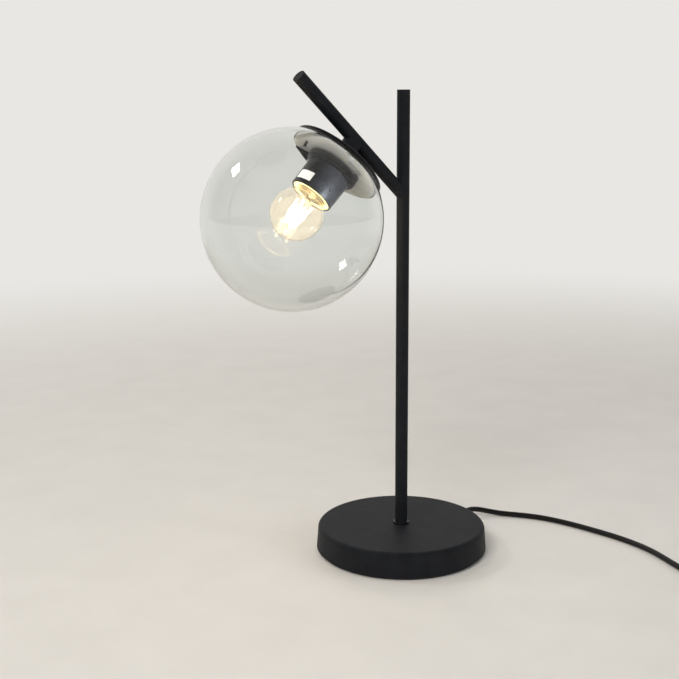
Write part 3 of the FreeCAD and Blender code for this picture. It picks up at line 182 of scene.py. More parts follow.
# %% [markdown]
# ## The globe
# The globe is blown soda-lime glass. Light bends at both faces of the wall, so the piece needs an
# outside and an inside, joined at the opening by a fire-polished lip. A lathe does this from one
# profile. Blown glass is never a perfect ball, so a slow swell of a few hundredths of a millimetre runs
# over it, which makes reflections bend a little.

# %% Globe: two walls and a rounded lip
globe_radius = 75.0
globe_wall = 2.0
globe_edge_depth = 26.2
globe_segments = 224
wall_steps = 120
lip_steps = 9
swell_height = 0.03
swell_waves = 5.0


def globe_profile():
    """Outer ball from its pole up to the lip, half a round there, and the inner ball back down."""
    half_wall = globe_wall / 2
    middle = globe_radius - half_wall
    lip_depth = globe_edge_depth + half_wall
    lip_angle = math.degrees(math.asin((lip_depth - globe_centre_depth) / middle))
    centre = (0.0, globe_centre_depth)
    lip_centre = (middle * math.cos(math.radians(lip_angle)), lip_depth)
    return np.concatenate([
        arc_points(centre, globe_radius, 90, lip_angle, wall_steps),
        arc_points(lip_centre, half_wall, lip_angle, lip_angle - 180, lip_steps)[1:-1],
        arc_points(centre, globe_radius - globe_wall, lip_angle, 90, wall_steps),
    ])


def swell(points, centre, height, waves):
    """Moves points in or out from a centre by height * sin(a) * sin(b), with a and b from their direction.

    The two waves differ in length and in where they start, so that no pattern shows.
    """
    first_start, second_start, second_share = 1.3, 0.4, 0.8
    away = points - centre
    direction = away / np.linalg.norm(away, axis=-1, keepdims=True)
    first = np.sin(direction[..., 0] * waves + first_start)
    second = np.sin(direction[..., 1] * waves * second_share + second_start)
    return points + direction * (first * second * height)[..., None]


globe_rows = lathe(globe_profile(), globe_segments)
globe_rows = swell(globe_rows, np.array([0, 0, globe_centre_depth]), swell_height, swell_waves)
globe = add_piece("globe_glass", grid_mesh("globe_glass", head_points(globe_rows)),
                  "globe", ["glass_globe"])
print("globe faces", len(globe.data.polygons))

# %% [markdown]
# ## The bulb
# A golf-ball bulb is a ball that flows into a neck. Its wall is under a millimetre, and again both
# faces are there. The flare between ball and neck is an arc that touches both, so no edge shows.

# %% Bulb glass
bulb_radius = 22.5
bulb_depth = 81.4
bulb_neck_radius = 12.9
bulb_wall = 0.8
bulb_neck_start = 59.6
flare_degrees = 50.0
flare_steps = 20
ball_steps = 60
bulb_segments = 144


def bulb_outline(skin):
    """Neck, flare and ball as (radius, depth), a skin's thickness in from the outside.

    The flare's arc has its centre outside the neck. Its radius makes it touch the neck's straight line
    and meet the ball, flare_degrees above the ball's widest place, in one direction.
    """
    flare = math.radians(flare_degrees)
    ball = bulb_radius - skin
    neck = bulb_neck_radius - skin
    bend = (bulb_radius * math.cos(flare) - bulb_neck_radius) / (1 - math.cos(flare)) + skin
    meet_depth = bulb_depth - ball * math.sin(flare)
    bend_centre = (neck + bend, meet_depth - bend * math.sin(flare))
    return np.concatenate([
        [[neck, bulb_neck_start]],
        arc_points(bend_centre, bend, 180, 180 - flare_degrees, flare_steps),
        arc_points((0, bulb_depth), ball, -flare_degrees, 90, ball_steps)[1:],
    ])


bulb_profile = np.concatenate([bulb_outline(0)[::-1], bulb_outline(bulb_wall)])
bulb_rows = lathe(bulb_profile, bulb_segments)
bulb_glass = add_piece("bulb_envelope", grid_mesh("bulb_envelope", head_points(bulb_rows)),
                       "bulb", ["bulb_glass"])
print("bulb faces", len(bulb_glass.data.polygons))

# %% [markdown]
# ### The bulb's screw cap
# The metal cap is a true screw: on a thread the radius depends on the height and on the angle together,
# so the crest climbs as it goes round. A lathe can't do that, but a grid can. Near its ends the ridge
# fades into the root, and a plain collar holds the glass.

# %% Bulb cap with a real thread
cap_crest = 13.15
cap_wall = 0.35
cap_low = 44.6
cap_high = 61.2
thread_depth = 0.8
thread_pitch = 3.63
run_in = 2.0
run_out = 1.2
thread_end = cap_high - 2.6
collar_start = cap_high - 2.0
collar_slope = 0.8
thread_turn_steps = 96
thread_depth_steps = 150


def thread_rows():
    """Radius is the root plus a rounded ridge whose phase is depth over pitch less angle over a turn."""
    turn = np.linspace(0, 2 * math.pi, thread_turn_steps, endpoint=False)
    depth = np.linspace(cap_low, cap_high, thread_depth_steps)[:, None]
    phase = (depth - cap_low) / thread_pitch - turn / (2 * math.pi)
    ridge = 0.5 - 0.5 * np.cos(2 * math.pi * phase)
    fade_in = np.clip((depth - cap_low) / run_in, 0, 1)
    fade_out = np.clip((thread_end - depth) / run_out, 0, 1)
    collar = np.clip((depth - collar_start) / collar_slope, 0, 1)
    radius = cap_crest - thread_depth + thread_depth * np.maximum(ridge * fade_in * fade_out, collar)
    return np.stack([radius * np.cos(turn), radius * np.sin(turn), depth + 0 * turn], axis=-1)


outside = thread_rows()
inner_radius = cap_crest - thread_depth - cap_wall
inside = lathe([[bulb_neck_radius, cap_high], [bulb_neck_radius, bulb_neck_start],
                [inner_radius, bulb_neck_start], [inner_radius, cap_low]], outside.shape[1])
cap_mesh = grid_mesh("bulb_thread", head_points(np.concatenate([outside, inside])), close_rows=True)
bulb_cap = add_piece("bulb_thread", cap_mesh, "bulb", ["bulb_screw_cap"])
print("thread turns", round((thread_end - cap_low) / thread_pitch, 1))

# %% [markdown]
# ## Filaments
# An LED filament is a thin stick of phosphor with a bare metal tab at each end. Four of them lean
# together round a glass stem, and wires carry them. One function makes a round bar between two points
# from a lengthwise profile, and it serves the sticks, the tabs and the wires.

# %% Round bars between two points
off_line = [0.37, 0.61, 0.70]


def bar_rows(start, end, profile, segments):
    """Rings of given radii at given shares of the way from start to end.

    A ring's points are centre + radius * (cos t * side + sin t * other), where side and other stand
    square to the bar and to each other. The first comes from a direction that no bar follows.
    """
    start, end = np.asarray(start, float), np.asarray(end, float)
    along = (end - start) / np.linalg.norm(end - start)
    side = np.cross(along, off_line)
    side /= np.linalg.norm(side)
    other = np.cross(along, side)
    turn = np.linspace(0, 2 * math.pi, segments, endpoint=False)[:, None]
    circle = np.cos(turn) * side + np.sin(turn) * other
    profile = np.asarray(profile, float)
    centres = start + (end - start) * profile[:, 1:]
    return centres[:, None] + profile[:, :1, None] * circle[None]


def round_ends(radius, share):
    """A profile for a bar that reaches its full radius at a share of its length, by way of a shoulder."""
    shoulder_radius, shoulder_share = radius * 0.7, share * 0.3
    return [[0, 0], [shoulder_radius, shoulder_share], [radius, share],
            [radius, 1 - share], [shoulder_radius, 1 - shoulder_share], [0, 1]]


def bar(name, start, end, radius, share, segments=10):
    """The mesh of a round bar between two points of the head's frame."""
    return grid_mesh(name, head_points(bar_rows(start, end, round_ends(radius, share), segments)))


def joined(name, meshes):
    """One mesh from several."""
    work = bmesh.new()
    for mesh in meshes:
        work.from_mesh(mesh)
        bpy.data.meshes.remove(mesh)
    whole = bpy.data.meshes.new(name)
    work.to_mesh(whole)
    work.free()
    whole.shade_smooth()
    whole.set_sharp_from_angle(angle=sharp_edge)
    return whole


# %% Filament sticks, tabs and wires
filament_count = 4
filament_first_turn = 45
filament_reach = 13.0
filament_foot = 7.4
filament_top = 4.4
stick_radius = 1.15
stick_inset = 0.05
tab_share = 0.07
tab_radius = 0.45
wire_radius = 0.25
stem_top_depth = bulb_depth - 7.0
stem_sink = 0.5
post_reach = 2.0
post_sink = 4.0
hub = np.array([0, 0, bulb_depth + filament_reach + 0.6])

sticks = []
wires = []
for k in range(filament_count):
    turn = math.radians(filament_first_turn + 360 * k / filament_count)
    out = np.array([math.cos(turn), math.sin(turn), 0.0])
    foot = out * filament_foot + [0, 0, bulb_depth - filament_reach]
    tip = out * filament_top + [0, 0, bulb_depth + filament_reach]
    reach = tip - foot
    post = out * post_reach + [0, 0, stem_top_depth - post_sink]
    inset = reach * stick_inset
    sticks.append(bar("stick", foot + inset, tip - inset, stick_radius, 0.02, 16))
    wires.append(bar("tab", foot, foot + reach * tab_share, tab_radius, 0.1))
    wires.append(bar("tab", tip - reach * tab_share, tip, tab_radius, 0.1))
    wires.append(bar("wire", post, foot, wire_radius, 0.02))
    wires.append(bar("wire", tip, hub, wire_radius, 0.05))
wires.append(bar("wire", np.array([0, 0, stem_top_depth - stem_sink]), hub, wire_radius, 0.02))
filaments = add_piece("filament_sticks", joined("filament_sticks", sticks), "bulb",
                      ["bulb_filaments"])
filament_wires = add_piece("filament_wires", joined("filament_wires", wires), "bulb")
print("sticks", len(sticks), "tabs and wires", len(wires))

# %% [markdown]
# ## The cord
# The cord is a round flex on the table. A curve object suits it: few points are given, and a
# NURBS spline of order 3 runs smoothly between them. Its ends meet the strain relief and the switch.
# The length that the picture doesn't show lies in a neat coil beyond the view, whose turns come from
# a loop: in at a steady rate, up one layer, and out again.

# %% From the base to the switch, in millimetres
cord_radius = 2.5
cord_floor = 2.6
exit_height = 8.6
exit_turn = math.radians(15.0)
relief_end = 95.26
straight_out = 7.3
switch_axis_height = 6.2
switch_origin = np.array([204.0, -226.8])
switch_turn = math.radians(-14)
switch_way = np.array([math.cos(switch_turn), math.sin(switch_turn)])
switch_span = 84.0
straight_run = 9


def exit_point(distance):
    """A point on the straight line on which the cord leaves the base."""
    return (distance * math.cos(exit_turn), distance * math.sin(exit_turn), exit_height)


def beside(origin, way, distance, height):
    """A point at a distance along a direction on the table, at a height."""
    return (*(origin + way * distance), height)


route_to_switch = [
    exit_point(relief_end),
    exit_point(relief_end + straight_out),
    (107.1, 26.6, 7.8),
    (114.8, 24.4, 6.0),
    (122.4, 19.6, 4.1),
    (130.6, 12.4, 2.8),
    (142.0, 0.8, cord_floor),
    (155.2, -16.0, cord_floor),
    (166.0, -41.0, cord_floor),
    (174.4, -72.0, cord_floor),
    (180.6, -102.0, cord_floor),
    (181.6, -134.0, cord_floor),
    (175.0, -164.0, cord_floor),
    (170.6, -186.0, cord_floor),
    (173.6, -203.0, 3.4),
    (182.0, -216.5, 5.2),
    beside(switch_origin, switch_way, -straight_run, switch_axis_height),
    beside(switch_origin, switch_way, 0, switch_axis_height),
]
print("points from the base to the switch", len(route_to_switch))

# %% [markdown]
# ### The put-away coil
# A coil is a spiral in the plane: the radius falls at a steady rate while the cord goes round. Half a
# turn at the inside lifts it by a layer with the smooth step 3s² - 2s³, and the second layer winds out.

# %% The coil's turns
coil_floor = 3.6
coil_layer = 5.6
coil_outer = 37.2
coil_pitch = 5.5
coil_turns_in = 3.17
coil_first = math.radians(20)
coil_middle = np.array([268.0, -178.0])
coil_total = coil_turns_in * 4 * math.pi + math.pi
coil_steps = 150
small_turn = 0.05


def coil_point(turn):
    """Radius falls by a pitch a turn, then in half a turn the cord climbs a layer and winds out.

    In that half turn the radius is a parabola, so its rate goes smoothly from falling to rising.
    """
    rate = coil_pitch / (2 * math.pi)
    inward = coil_turns_in * 2 * math.pi
    past = turn - inward
    share = min(max(past / math.pi, 0.0), 1.0)
    height = coil_floor + coil_layer * (3 * share ** 2 - 2 * share ** 3)
    if past <= 0:
        radius = coil_outer - rate * turn
    elif past <= math.pi:
        radius = coil_outer - rate * inward - rate * past + rate / math.pi * past ** 2
    else:
        radius = coil_outer - rate * inward + rate * (past - math.pi)
    angle = coil_first + turn
    return (coil_middle[0] + radius * math.cos(angle), coil_middle[1] + radius * math.sin(angle), height)


coil_route = [coil_point(coil_total * k / coil_steps) for k in range(coil_steps + 1)]
coil_in = np.array(coil_route[0])
coil_in_way = coil_in - np.array(coil_point(-small_turn))
coil_in_way[2] = 0
coil_in_way /= np.linalg.norm(coil_in_way)
coil_out = np.array(coil_route[-1])
coil_out_way = np.array(coil_point(coil_total + small_turn)) - coil_out
coil_out_way /= np.linalg.norm(coil_out_way)
print("coil turns", round(coil_total / (2 * math.pi), 2))

# %% From the switch to the plug
plug_origin = np.array([332.0, -139.0])
plug_turn = math.radians(66)
plug_way = np.array([math.cos(plug_turn), math.sin(plug_turn)])
plug_height = 6.95
plug_relief = 24.0

route_to_plug = [
    beside(switch_origin, switch_way, switch_span, switch_axis_height),
    beside(switch_origin, switch_way, switch_span + straight_run, switch_axis_height),
    (304.2, -247.9, 5.4),
    (313.5, -242.5, 4.2),
    (320.1, -233.1, coil_floor),
    (322.3, -220.3, coil_floor),
    (319.3, -206.3, coil_floor),
    tuple(coil_in - coil_in_way * 15),
    *coil_route,
    tuple(coil_out + coil_out_way * 8),
    tuple(coil_out + coil_out_way * 17 + [0.3, 0, 0.9]),
    tuple(coil_out + coil_out_way * 26 + [-0.2, 0.4, 0.3]),
    beside(plug_origin, plug_way, -plug_relief - straight_run, plug_height),
    beside(plug_origin, plug_way, -plug_relief, plug_height),
]
print("points from the switch to the plug", len(route_to_plug))

# %% [markdown]
# ### Curves with a round section
# A curve object is swept by its own round section, so the cord stays a curve with a true length. The
# points don't lie on it: they pull it, and an order of 3 keeps it close to them and free of kinks.

# %% Cord curves


def cord_curve(name, route):
    """One open NURBS spline with the route's points as its control points, and a round section.

    Each point's radius is the cord's, and the bevel is 1, so that the curve's own box is right too.
    """
    data = bpy.data.curves.new(name, "CURVE")
    data.dimensions = "3D"
    data.bevel_depth = 1.0
    data.bevel_resolution = 5
    data.resolution_u = 8
    data.use_fill_caps = True
    spline = data.splines.new("NURBS")
    spline.points.add(len(route) - 1)
    flat = np.ones((len(route), 4))
    flat[:, :3] = np.array(route) * MM
    spline.points.foreach_set("co", flat.ravel())
    spline.points.foreach_set("radius", np.full(len(route), cord_radius * MM))
    spline.order_u = 3
    spline.use_endpoint_u = True
    piece = bpy.data.objects.new(name, data)
    bpy.context.scene.collection.objects.link(piece)
    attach(piece, "root")
    return piece


flex_to_switch = cord_curve("flex_to_switch", route_to_switch)
flex_to_plug = cord_curve("flex_to_plug", route_to_plug)
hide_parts("power_cord")
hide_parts("cord_to_coil", "cord_coil", "plug_cord")
print("cords", flex_to_switch.name, flex_to_plug.name)

# %% [markdown]
# ## Finishes
# A finish starts from what the real surface is and how it was made. Colours are written as the hex
# codes that a paint chart gives, which are sRGB, so one function turns them into the linear values that
# light works in. One more function adds a node to a material with its settings and its links.

# %% Colours and nodes


def linear(code):
    """Linear RGBA of a hex colour: each channel c becomes ((c + 0.055) / 1.055) ** 2.4, or c / 12.92."""
    srgb = np.array([int(code[i:i + 2], 16) for i in (1, 3, 5)]) / 255
    low = srgb / 12.92
    high = ((srgb + 0.055) / 1.055) ** 2.4
    return (*np.where(srgb <= 0.04045, low, high), 1.0)


def add(tree, kind, inputs=(), **settings):
    """Adds a node: settings are its properties, inputs pair a socket with a value or a link."""
    made = tree.nodes.new(kind)
    for key, value in settings.items():
        setattr(made, key, value)
    for socket, value in dict(inputs).items():
        if isinstance(value, bpy.types.NodeSocket):
            tree.links.new(value, made.inputs[socket])
        else:
            made.inputs[socket].default_value = value
    return made


def new_tree(name):
    """A material with an empty node tree."""
    material = bpy.data.materials.new(name)
    material.use_nodes = True
    material.node_tree.nodes.clear()
    return material, material.node_tree


print("mid grey #808080 is", round(float(linear("#808080")[0]), 3), "in linear light")

# %% Noise of a real size, and a finish made from it
fine_offset = 7.0


def noise(tree, grain_mm, detail, offset=0.0):
    """A noise whose blobs are about grain_mm across in the piece's own coordinates."""
    place = add(tree, "ShaderNodeTexCoord").outputs["Object"]
    scale = (1 / (grain_mm * MM),) * 3
    moved = add(tree, "ShaderNodeMapping", {"Vector": place, "Scale": scale, "Location": (offset, 0, 0)})
    return add(tree, "ShaderNodeTexNoise", {"Vector": moved.outputs[0], "Scale": 1.0, "Detail": detail})


def spread(tree, value, low, high, lowest=0.3, highest=0.7):
    """Carries a noise's usual range to the range from low to high, in a straight line."""
    return add(tree, "ShaderNodeMapRange", {"Value": value, "From Min": lowest, "From Max": highest,
                                            "To Min": low, "To Max": high}).outputs["Result"]


def toned(tree, value, dark, light):
    """A colour between two hex colours."""
    return add(tree, "ShaderNodeMix", {"Factor": value, 6: linear(dark), 7: linear(light)},
               data_type="RGBA").outputs[2]


def finish(name, dark, light, tone_mm, rough, grain_mm, relief_mm, metallic=0.0, ior=1.5, sheen=0.0):
    """A surface with two tones, uneven gloss and a fine relief, all from noise of real sizes."""
    material, tree = new_tree(name)
    tone = spread(tree, noise(tree, tone_mm, 3.0).outputs["Fac"], 0, 1)
    fine = noise(tree, grain_mm, 2.0, fine_offset).outputs["Fac"]
    bump = add(tree, "ShaderNodeBump", {"Height": fine, "Strength": 1.0, "Distance": relief_mm * MM})
    shader = add(tree, "ShaderNodeBsdfPrincipled", {
        "Base Color": toned(tree, tone, dark, light),
        "Roughness": spread(tree, fine, rough[0], rough[1]),
        "Normal": bump.outputs[0],
        "Metallic": metallic,
        "IOR": ior,
        "Sheen Weight": sheen,
    })
    add(tree, "ShaderNodeOutputMaterial", {"Surface": shader.outputs[0]})
    return material


def dress(material, *names):
    """Gives a material to solids by node name, or to pieces."""
    for name in names:
        piece = frame["nodes"].get(name) if isinstance(name, str) else name
        piece.data.materials.clear()
        piece.data.materials.append(material)
    print(material.name, "on", len(names))


# %% [markdown]
# ### Powder-coated steel
# Base, post and arm are steel with a baked powder coat, matt black. Powder melts into a skin with a fine
# orange peel. The real peel is about half a millimetre, too fine for this picture, so it is drawn a
# little coarser, with a very small height. The dome over the globe and the ring at the post's foot are
# sprayed with a smoother lacquer, which shines more.

# %% Black coats
powder_coat = finish("powder_coated_steel", "#131519", "#1a1c20", tone_mm=14.0, rough=(0.54, 0.64),
                     grain_mm=0.9, relief_mm=0.03, ior=1.26)
dress(powder_coat, "base_cover", "post_tube", "arm_tube", "tube_end_caps", "neck_sleeve")
lacquer = finish("smooth_black_lacquer", "#0d0d0e", "#141415", tone_mm=9.0, rough=(0.24, 0.34),
                 grain_mm=1.6, relief_mm=0.012, ior=1.34)
dress(lacquer, "domed_cap", "post_foot_ring")

# %% [markdown]
# ### Metals
# A metal's colour is its reflection, so these have Metallic at 1, or near it where a dull skin covers
# the metal. Each has a tone that wanders over a few millimetres and a fine grain that breaks up its
# mirror image.

# %% Metals
# Zinc plating: grey with a blue cast, faintly blotched.
zinc = finish("zinc_plated_steel", "#a9abad", "#c4c6c8", tone_mm=3.0, rough=(0.28, 0.42),
              grain_mm=0.5, relief_mm=0.01, metallic=1.0)
dress(zinc, "bottom_plate", "bottom_plate_screws", "base_nut", "base_nipple", "terminal_screws",
      "cord_clamp", "cord_clamp_screws", "globe_latch", "head_nipple", "head_nut", "rocker_pin",
      "switch_screws", "lock_washers")
# Sand-cast iron: dark, dull and coarse, as the sand left it.
iron = finish("cast_iron", "#3f3f41", "#565658", tone_mm=5.0, rough=(0.6, 0.8),
              grain_mm=1.2, relief_mm=0.12, metallic=0.8)
dress(iron, "base_weight")
# Turned brass: warm yellow, with a bright cut surface.
brass = finish("turned_brass", "#b8914a", "#d1ad62", tone_mm=2.0, rough=(0.2, 0.34),
               grain_mm=0.4, relief_mm=0.008, metallic=1.0)
dress(brass, "post_foot_bush", "holder_terminals", "screw_shell", "centre_contact", "switch_contacts")
# Nickel over brass: a white metal with a trace of yellow, and the smoothest one here.
nickel = finish("nickel_plated_brass", "#c3c0b8", "#dad7ce", tone_mm=2.5, rough=(0.16, 0.28),
                grain_mm=0.5, relief_mm=0.006, metallic=1.0)
dress(nickel, "bulb_centre_contact", "plug_pins", bulb_cap, filament_wires)
# Blackened spring steel: an oil-dark skin that keeps a metal's shine.
blackened = finish("blackened_spring_steel", "#19191b", "#2b2b2e", tone_mm=3.0, rough=(0.3, 0.45),
                   grain_mm=0.7, relief_mm=0.015, metallic=0.9)
dress(blackened, "globe_hook")

# %% [markdown]
# ### The plate over the globe
# The plate is satin plated steel with a polished rim. One node measures how far a point is from the
# plate's middle. Its result drives the roughness in place of the fine noise: even over the plate, and
# falling at the rim.

# %% Satin plate with a polished rim
plate_depth = 28.5
rim_start = 38.6
rim_end = 39.2
satin_roughness = 0.53
polished_roughness = 0.12

plated = finish("bright_plated_steel", "#c6c7c4", "#dadbd8", tone_mm=12.0, rough=(0.48, 0.58),
                grain_mm=0.8, relief_mm=0.008, metallic=0.45)
tree = plated.node_tree
place = add(tree, "ShaderNodeTexCoord").outputs["Object"]
plate_middle = head_points([0, 0, plate_depth]).tolist()
radius = add(tree, "ShaderNodeVectorMath", {0: place, 1: plate_middle}, operation="DISTANCE")
rim = add(tree, "ShaderNodeMapRange", {
    "Value": radius.outputs["Value"], "From Min": rim_start * MM, "From Max": rim_end * MM,
    "To Min": satin_roughness, "To Max": polished_roughness})
shader = next(node for node in tree.nodes if node.type == "BSDF_PRINCIPLED")
tree.links.new(rim.outputs["Result"], shader.inputs["Roughness"])
dress(plated, "reflector_plate")

# %% [markdown]
# ### Moulded plastics
# Moulded parts take their skin from the mould. A polished mould gives a shine with soft reflections, and
# a spark-eroded one gives a matt grain that hides fingerprints.

# %% Moulded plastics
# PBT, which stands the bulb's heat: satin, near black.
holder_plastic = finish("moulded_pbt", "#0c0c0d", "#131314", tone_mm=8.0, rough=(0.24, 0.32),
                        grain_mm=0.8, relief_mm=0.01, ior=1.36)
dress(holder_plastic, "holder_dome", "holder_barrel")
# PVC from a spark-eroded mould: matt, with a grain under a millimetre.
grained = finish("spark_grained_pvc", "#1b1b1c", "#252526", tone_mm=4.0, rough=(0.48, 0.62),
                 grain_mm=0.7, relief_mm=0.06)
dress(grained, "switch_lower_shell", "switch_upper_shell", "plug_body", "cord_strain_relief",
      "plug_strain_relief", "switch_sleeves")
# ABS from a polished mould: a smooth shine, which fingers keep bright.
polished = finish("polished_abs", "#121213", "#18181a", tone_mm=5.0, rough=(0.2, 0.28),
                  grain_mm=1.0, relief_mm=0.006, ior=1.4)
dress(polished, "switch_rocker", "latch_bead")
# Polyamide with no pigment: the milky white of a terminal block.
polyamide = finish("natural_polyamide", "#dcd9cf", "#e9e6dd", tone_mm=4.0, rough=(0.35, 0.45),
                   grain_mm=0.8, relief_mm=0.015)
dress(polyamide, "terminal_block")

# %% [markdown]
# ### Soft and extruded parts
# The cord's skin and the wires' skins are PVC drawn through a die, smooth with a slight waviness. The
# gasket and the tie are silicone, and the pad under the base is a closed foam, the roughest of all.

# %% Soft and extruded parts
# Flexible PVC: black and satin, as plasticised PVC is.
flex_pvc = finish("flexible_pvc", "#0c0b0b", "#141313", tone_mm=6.0, rough=(0.36, 0.46),
                  grain_mm=1.2, relief_mm=0.02, ior=1.35)
dress(flex_pvc, flex_to_switch, flex_to_plug, "cord_in_base", "cord_inner_ends")
# The two inner wires, in the mains colours.
brown_pvc = finish("brown_wire_pvc", "#5a3420", "#6b4029", tone_mm=3.0, rough=(0.35, 0.45),
                   grain_mm=1.0, relief_mm=0.01)
dress(brown_pvc, "live_wire")
blue_pvc = finish("blue_wire_pvc", "#1d4a94", "#2758a6", tone_mm=3.0, rough=(0.35, 0.45),
                  grain_mm=1.0, relief_mm=0.01)
dress(blue_pvc, "neutral_wire")
# Silicone: black, with a soft low sheen.
silicone = finish("moulded_silicone", "#111112", "#1b1b1c", tone_mm=2.0, rough=(0.4, 0.55),
                  grain_mm=0.6, relief_mm=0.02)
dress(silicone, "glass_gasket", "cord_tie")
# EVA foam: matt and pitted, with a little fuzz at its edges.
foam = finish("eva_foam_pad", "#1c1c1d", "#2a2a2b", tone_mm=1.5, rough=(0.8, 0.95),
              grain_mm=0.7, relief_mm=0.18, sheen=0.2)
dress(foam, "foot_pad")

# %% [markdown]
# ### Ceramic, cap glass and paper
# The holder's inside is steatite, a fired ceramic, cream and slightly glazed. The bulb's contact is set
# in its cap with black glass. The label is coated white paper, with nothing on it.

# %% Ceramic, cap glass and paper
steatite = finish("cream_steatite", "#eadfb8", "#f3ebcb", tone_mm=3.0, rough=(0.3, 0.42),
                  grain_mm=0.6, relief_mm=0.02)
dress(steatite, "holder_insulator")
cap_glass = finish("black_cap_glass", "#0b0b0f", "#15151c", tone_mm=2.0, rough=(0.08, 0.16),
                   grain_mm=0.8, relief_mm=0.006, ior=1.6)
dress(cap_glass, "bulb_insulator")
paper = finish("label_paper", "#f0f0ef", "#fafafa", tone_mm=1.2, rough=(0.4, 0.55),
               grain_mm=0.35, relief_mm=0.01)
dress(paper, "blank_label")

# %% [markdown]
# ### Clear glass
# Glass needs three things: full transmission, the index of soda-lime glass, and a way for lamplight to
# get through. Cycles lets no lamp through a refracting wall, so for shadow rays only the glass is
# swapped for a transparent shader. The veil is the thin film of dust and reflections that every clear
# globe has, and is a small share of plain white.

# %% Clear glass
glass_ior = 1.5
smear_mm = 22.0
thin_veil = 0.6
thick_veil = 1.4


def clear_glass(name, tint, veil):
    """Refracting glass with a faint uneven veil, open to shadow rays."""
    material, tree = new_tree(name)
    smear = noise(tree, smear_mm, 3.0).outputs["Fac"]
    share = spread(tree, smear, veil * thin_veil, veil * thick_veil)
    body = add(tree, "ShaderNodeBsdfPrincipled", {
        "Base Color": linear(tint), "Roughness": 0.0, "IOR": glass_ior, "Transmission Weight": 1.0})
    film = add(tree, "ShaderNodeBsdfPrincipled", {"Base Color": linear("#e8e8e6"), "Roughness": 0.6})
    veiled = add(tree, "ShaderNodeMixShader", {"Fac": share, 1: body.outputs[0], 2: film.outputs[0]})
    open_glass = add(tree, "ShaderNodeBsdfTransparent", {"Color": linear("#f4f6f5")})
    shadow = add(tree, "ShaderNodeLightPath").outputs["Is Shadow Ray"]
    mixed = add(tree, "ShaderNodeMixShader", {
        "Fac": shadow, 1: veiled.outputs[0], 2: open_glass.outputs[0]})
    add(tree, "ShaderNodeOutputMaterial", {"Surface": mixed.outputs[0]})
    return material


dress(clear_glass("blown_soda_lime_glass", "#f4f6f5", veil=0.005), globe)
dress(clear_glass("bulb_soda_glass", "#fffdf8", veil=0.016), bulb_glass, "bulb_stem")

# %% [markdown]
# ### Glowing phosphor
# Each stick is blue light behind yellow phosphor, and what leaves it is warm white. Its glow is far
# brighter than a white page, so the sticks burn out in the picture as they do in the photograph.

# %% Phosphor
phosphor_grain = 0.8
glow_strength = 8.0

material, tree = new_tree("warm_phosphor")
grain = spread(tree, noise(tree, phosphor_grain, 2.0).outputs["Fac"], 0, 1)
shader = add(tree, "ShaderNodeBsdfPrincipled", {
    "Base Color": toned(tree, grain, "#e8c860", "#f2da86"), "Roughness": 0.7,
    "Emission Color": toned(tree, grain, "#ffe2b0", "#fff0d0"), "Emission Strength": glow_strength})
add(tree, "ShaderNodeOutputMaterial", {"Surface": shader.outputs[0]})
dress(material, filaments)

# %% [markdown]
# ## The floor
# A studio for a product picture is a pale floor that runs up into a pale distance. The floor here is
# a wide disc, finer near the lamp. It keeps the lamp's shadow there, and farther off it fades into the
# colour of the world, so that no edge shows from any side.

# %% Floor mesh
floor_reach = 6.0
near_reach = 2.0
near_rings = np.linspace(0, near_reach, 21)
far_rings = np.linspace(near_reach + 0.5, floor_reach, 8)
floor_segments = 96

rings = np.concatenate([near_rings, far_rings])
floor_rows = lathe(np.stack([rings, np.zeros_like(rings)], axis=-1), floor_segments)
floor = bpy.data.objects.new("floor", grid_mesh("floor", floor_rows))
bpy.context.scene.collection.objects.link(floor)
if floor.data.polygons[0].normal.z < 0:
    floor.data.flip_normals()
print("floor faces", len(floor.data.polygons))

# %% Floor finish
backdrop = "#e9e7e3"
fade_start = 0.6
fade_end = 1.8
mottle_mm = 60.0


def plainly_seen(tree):
    """1 for rays that show the backdrop: straight to the camera, or by way of glass or gloss."""
    path = add(tree, "ShaderNodeLightPath").outputs
    straight = add(tree, "ShaderNodeMath", {0: path["Is Camera Ray"], 1: path["Is Glossy Ray"]},
                   operation="MAXIMUM")
    through = add(tree, "ShaderNodeMath", {0: straight.outputs[0], 1: path["Is Transmission Ray"]},
                  operation="MAXIMUM")
    return through.outputs[0]


material, tree = new_tree("pale_floor")
place = add(tree, "ShaderNodeTexCoord").outputs["Object"]
distance = add(tree, "ShaderNodeVectorMath", {0: place}, operation="LENGTH").outputs["Value"]
far = add(tree, "ShaderNodeMapRange", {"Value": distance, "From Min": fade_start, "From Max": fade_end},
          interpolation_type="SMOOTHSTEP").outputs["Result"]
seen = add(tree, "ShaderNodeMath", {0: far, 1: plainly_seen(tree)}, operation="MULTIPLY").outputs[0]
mottle = spread(tree, noise(tree, mottle_mm, 3.0).outputs["Fac"], 0, 1)
matt = add(tree, "ShaderNodeBsdfPrincipled", {
    "Base Color": toned(tree, mottle, "#c9c7c3", "#cdcbc7"), "Roughness": 0.7})
wash = add(tree, "ShaderNodeEmission", {"Color": linear(backdrop), "Strength": 1.0})
mixed = add(tree, "ShaderNodeMixShader", {"Fac": seen, 1: matt.outputs[0], 2: wash.outputs[0]})
add(tree, "ShaderNodeOutputMaterial", {"Surface": mixed.outputs[0]})
dress(material, floor)

# %% [markdown]
# ## The world
# The world has two tasks: it lights the lamp softly from all round, and it is the backdrop. In a studio
# only the sweep behind the lamp is lit, and the room on the camera's side and overhead is dimmer.
# Mirrors look that way, so for rays that a mirror sent out the backdrop darkens there, which keeps
# black plastic behind the glass black. Plain views, and views through glass, are left pale.

# %% World
ambient_tone = "#f3f1ee"
ambient_strength = 0.55
room_tone = "#7b7977"
room_edge = 0.25
backdrop_edge = 0.75

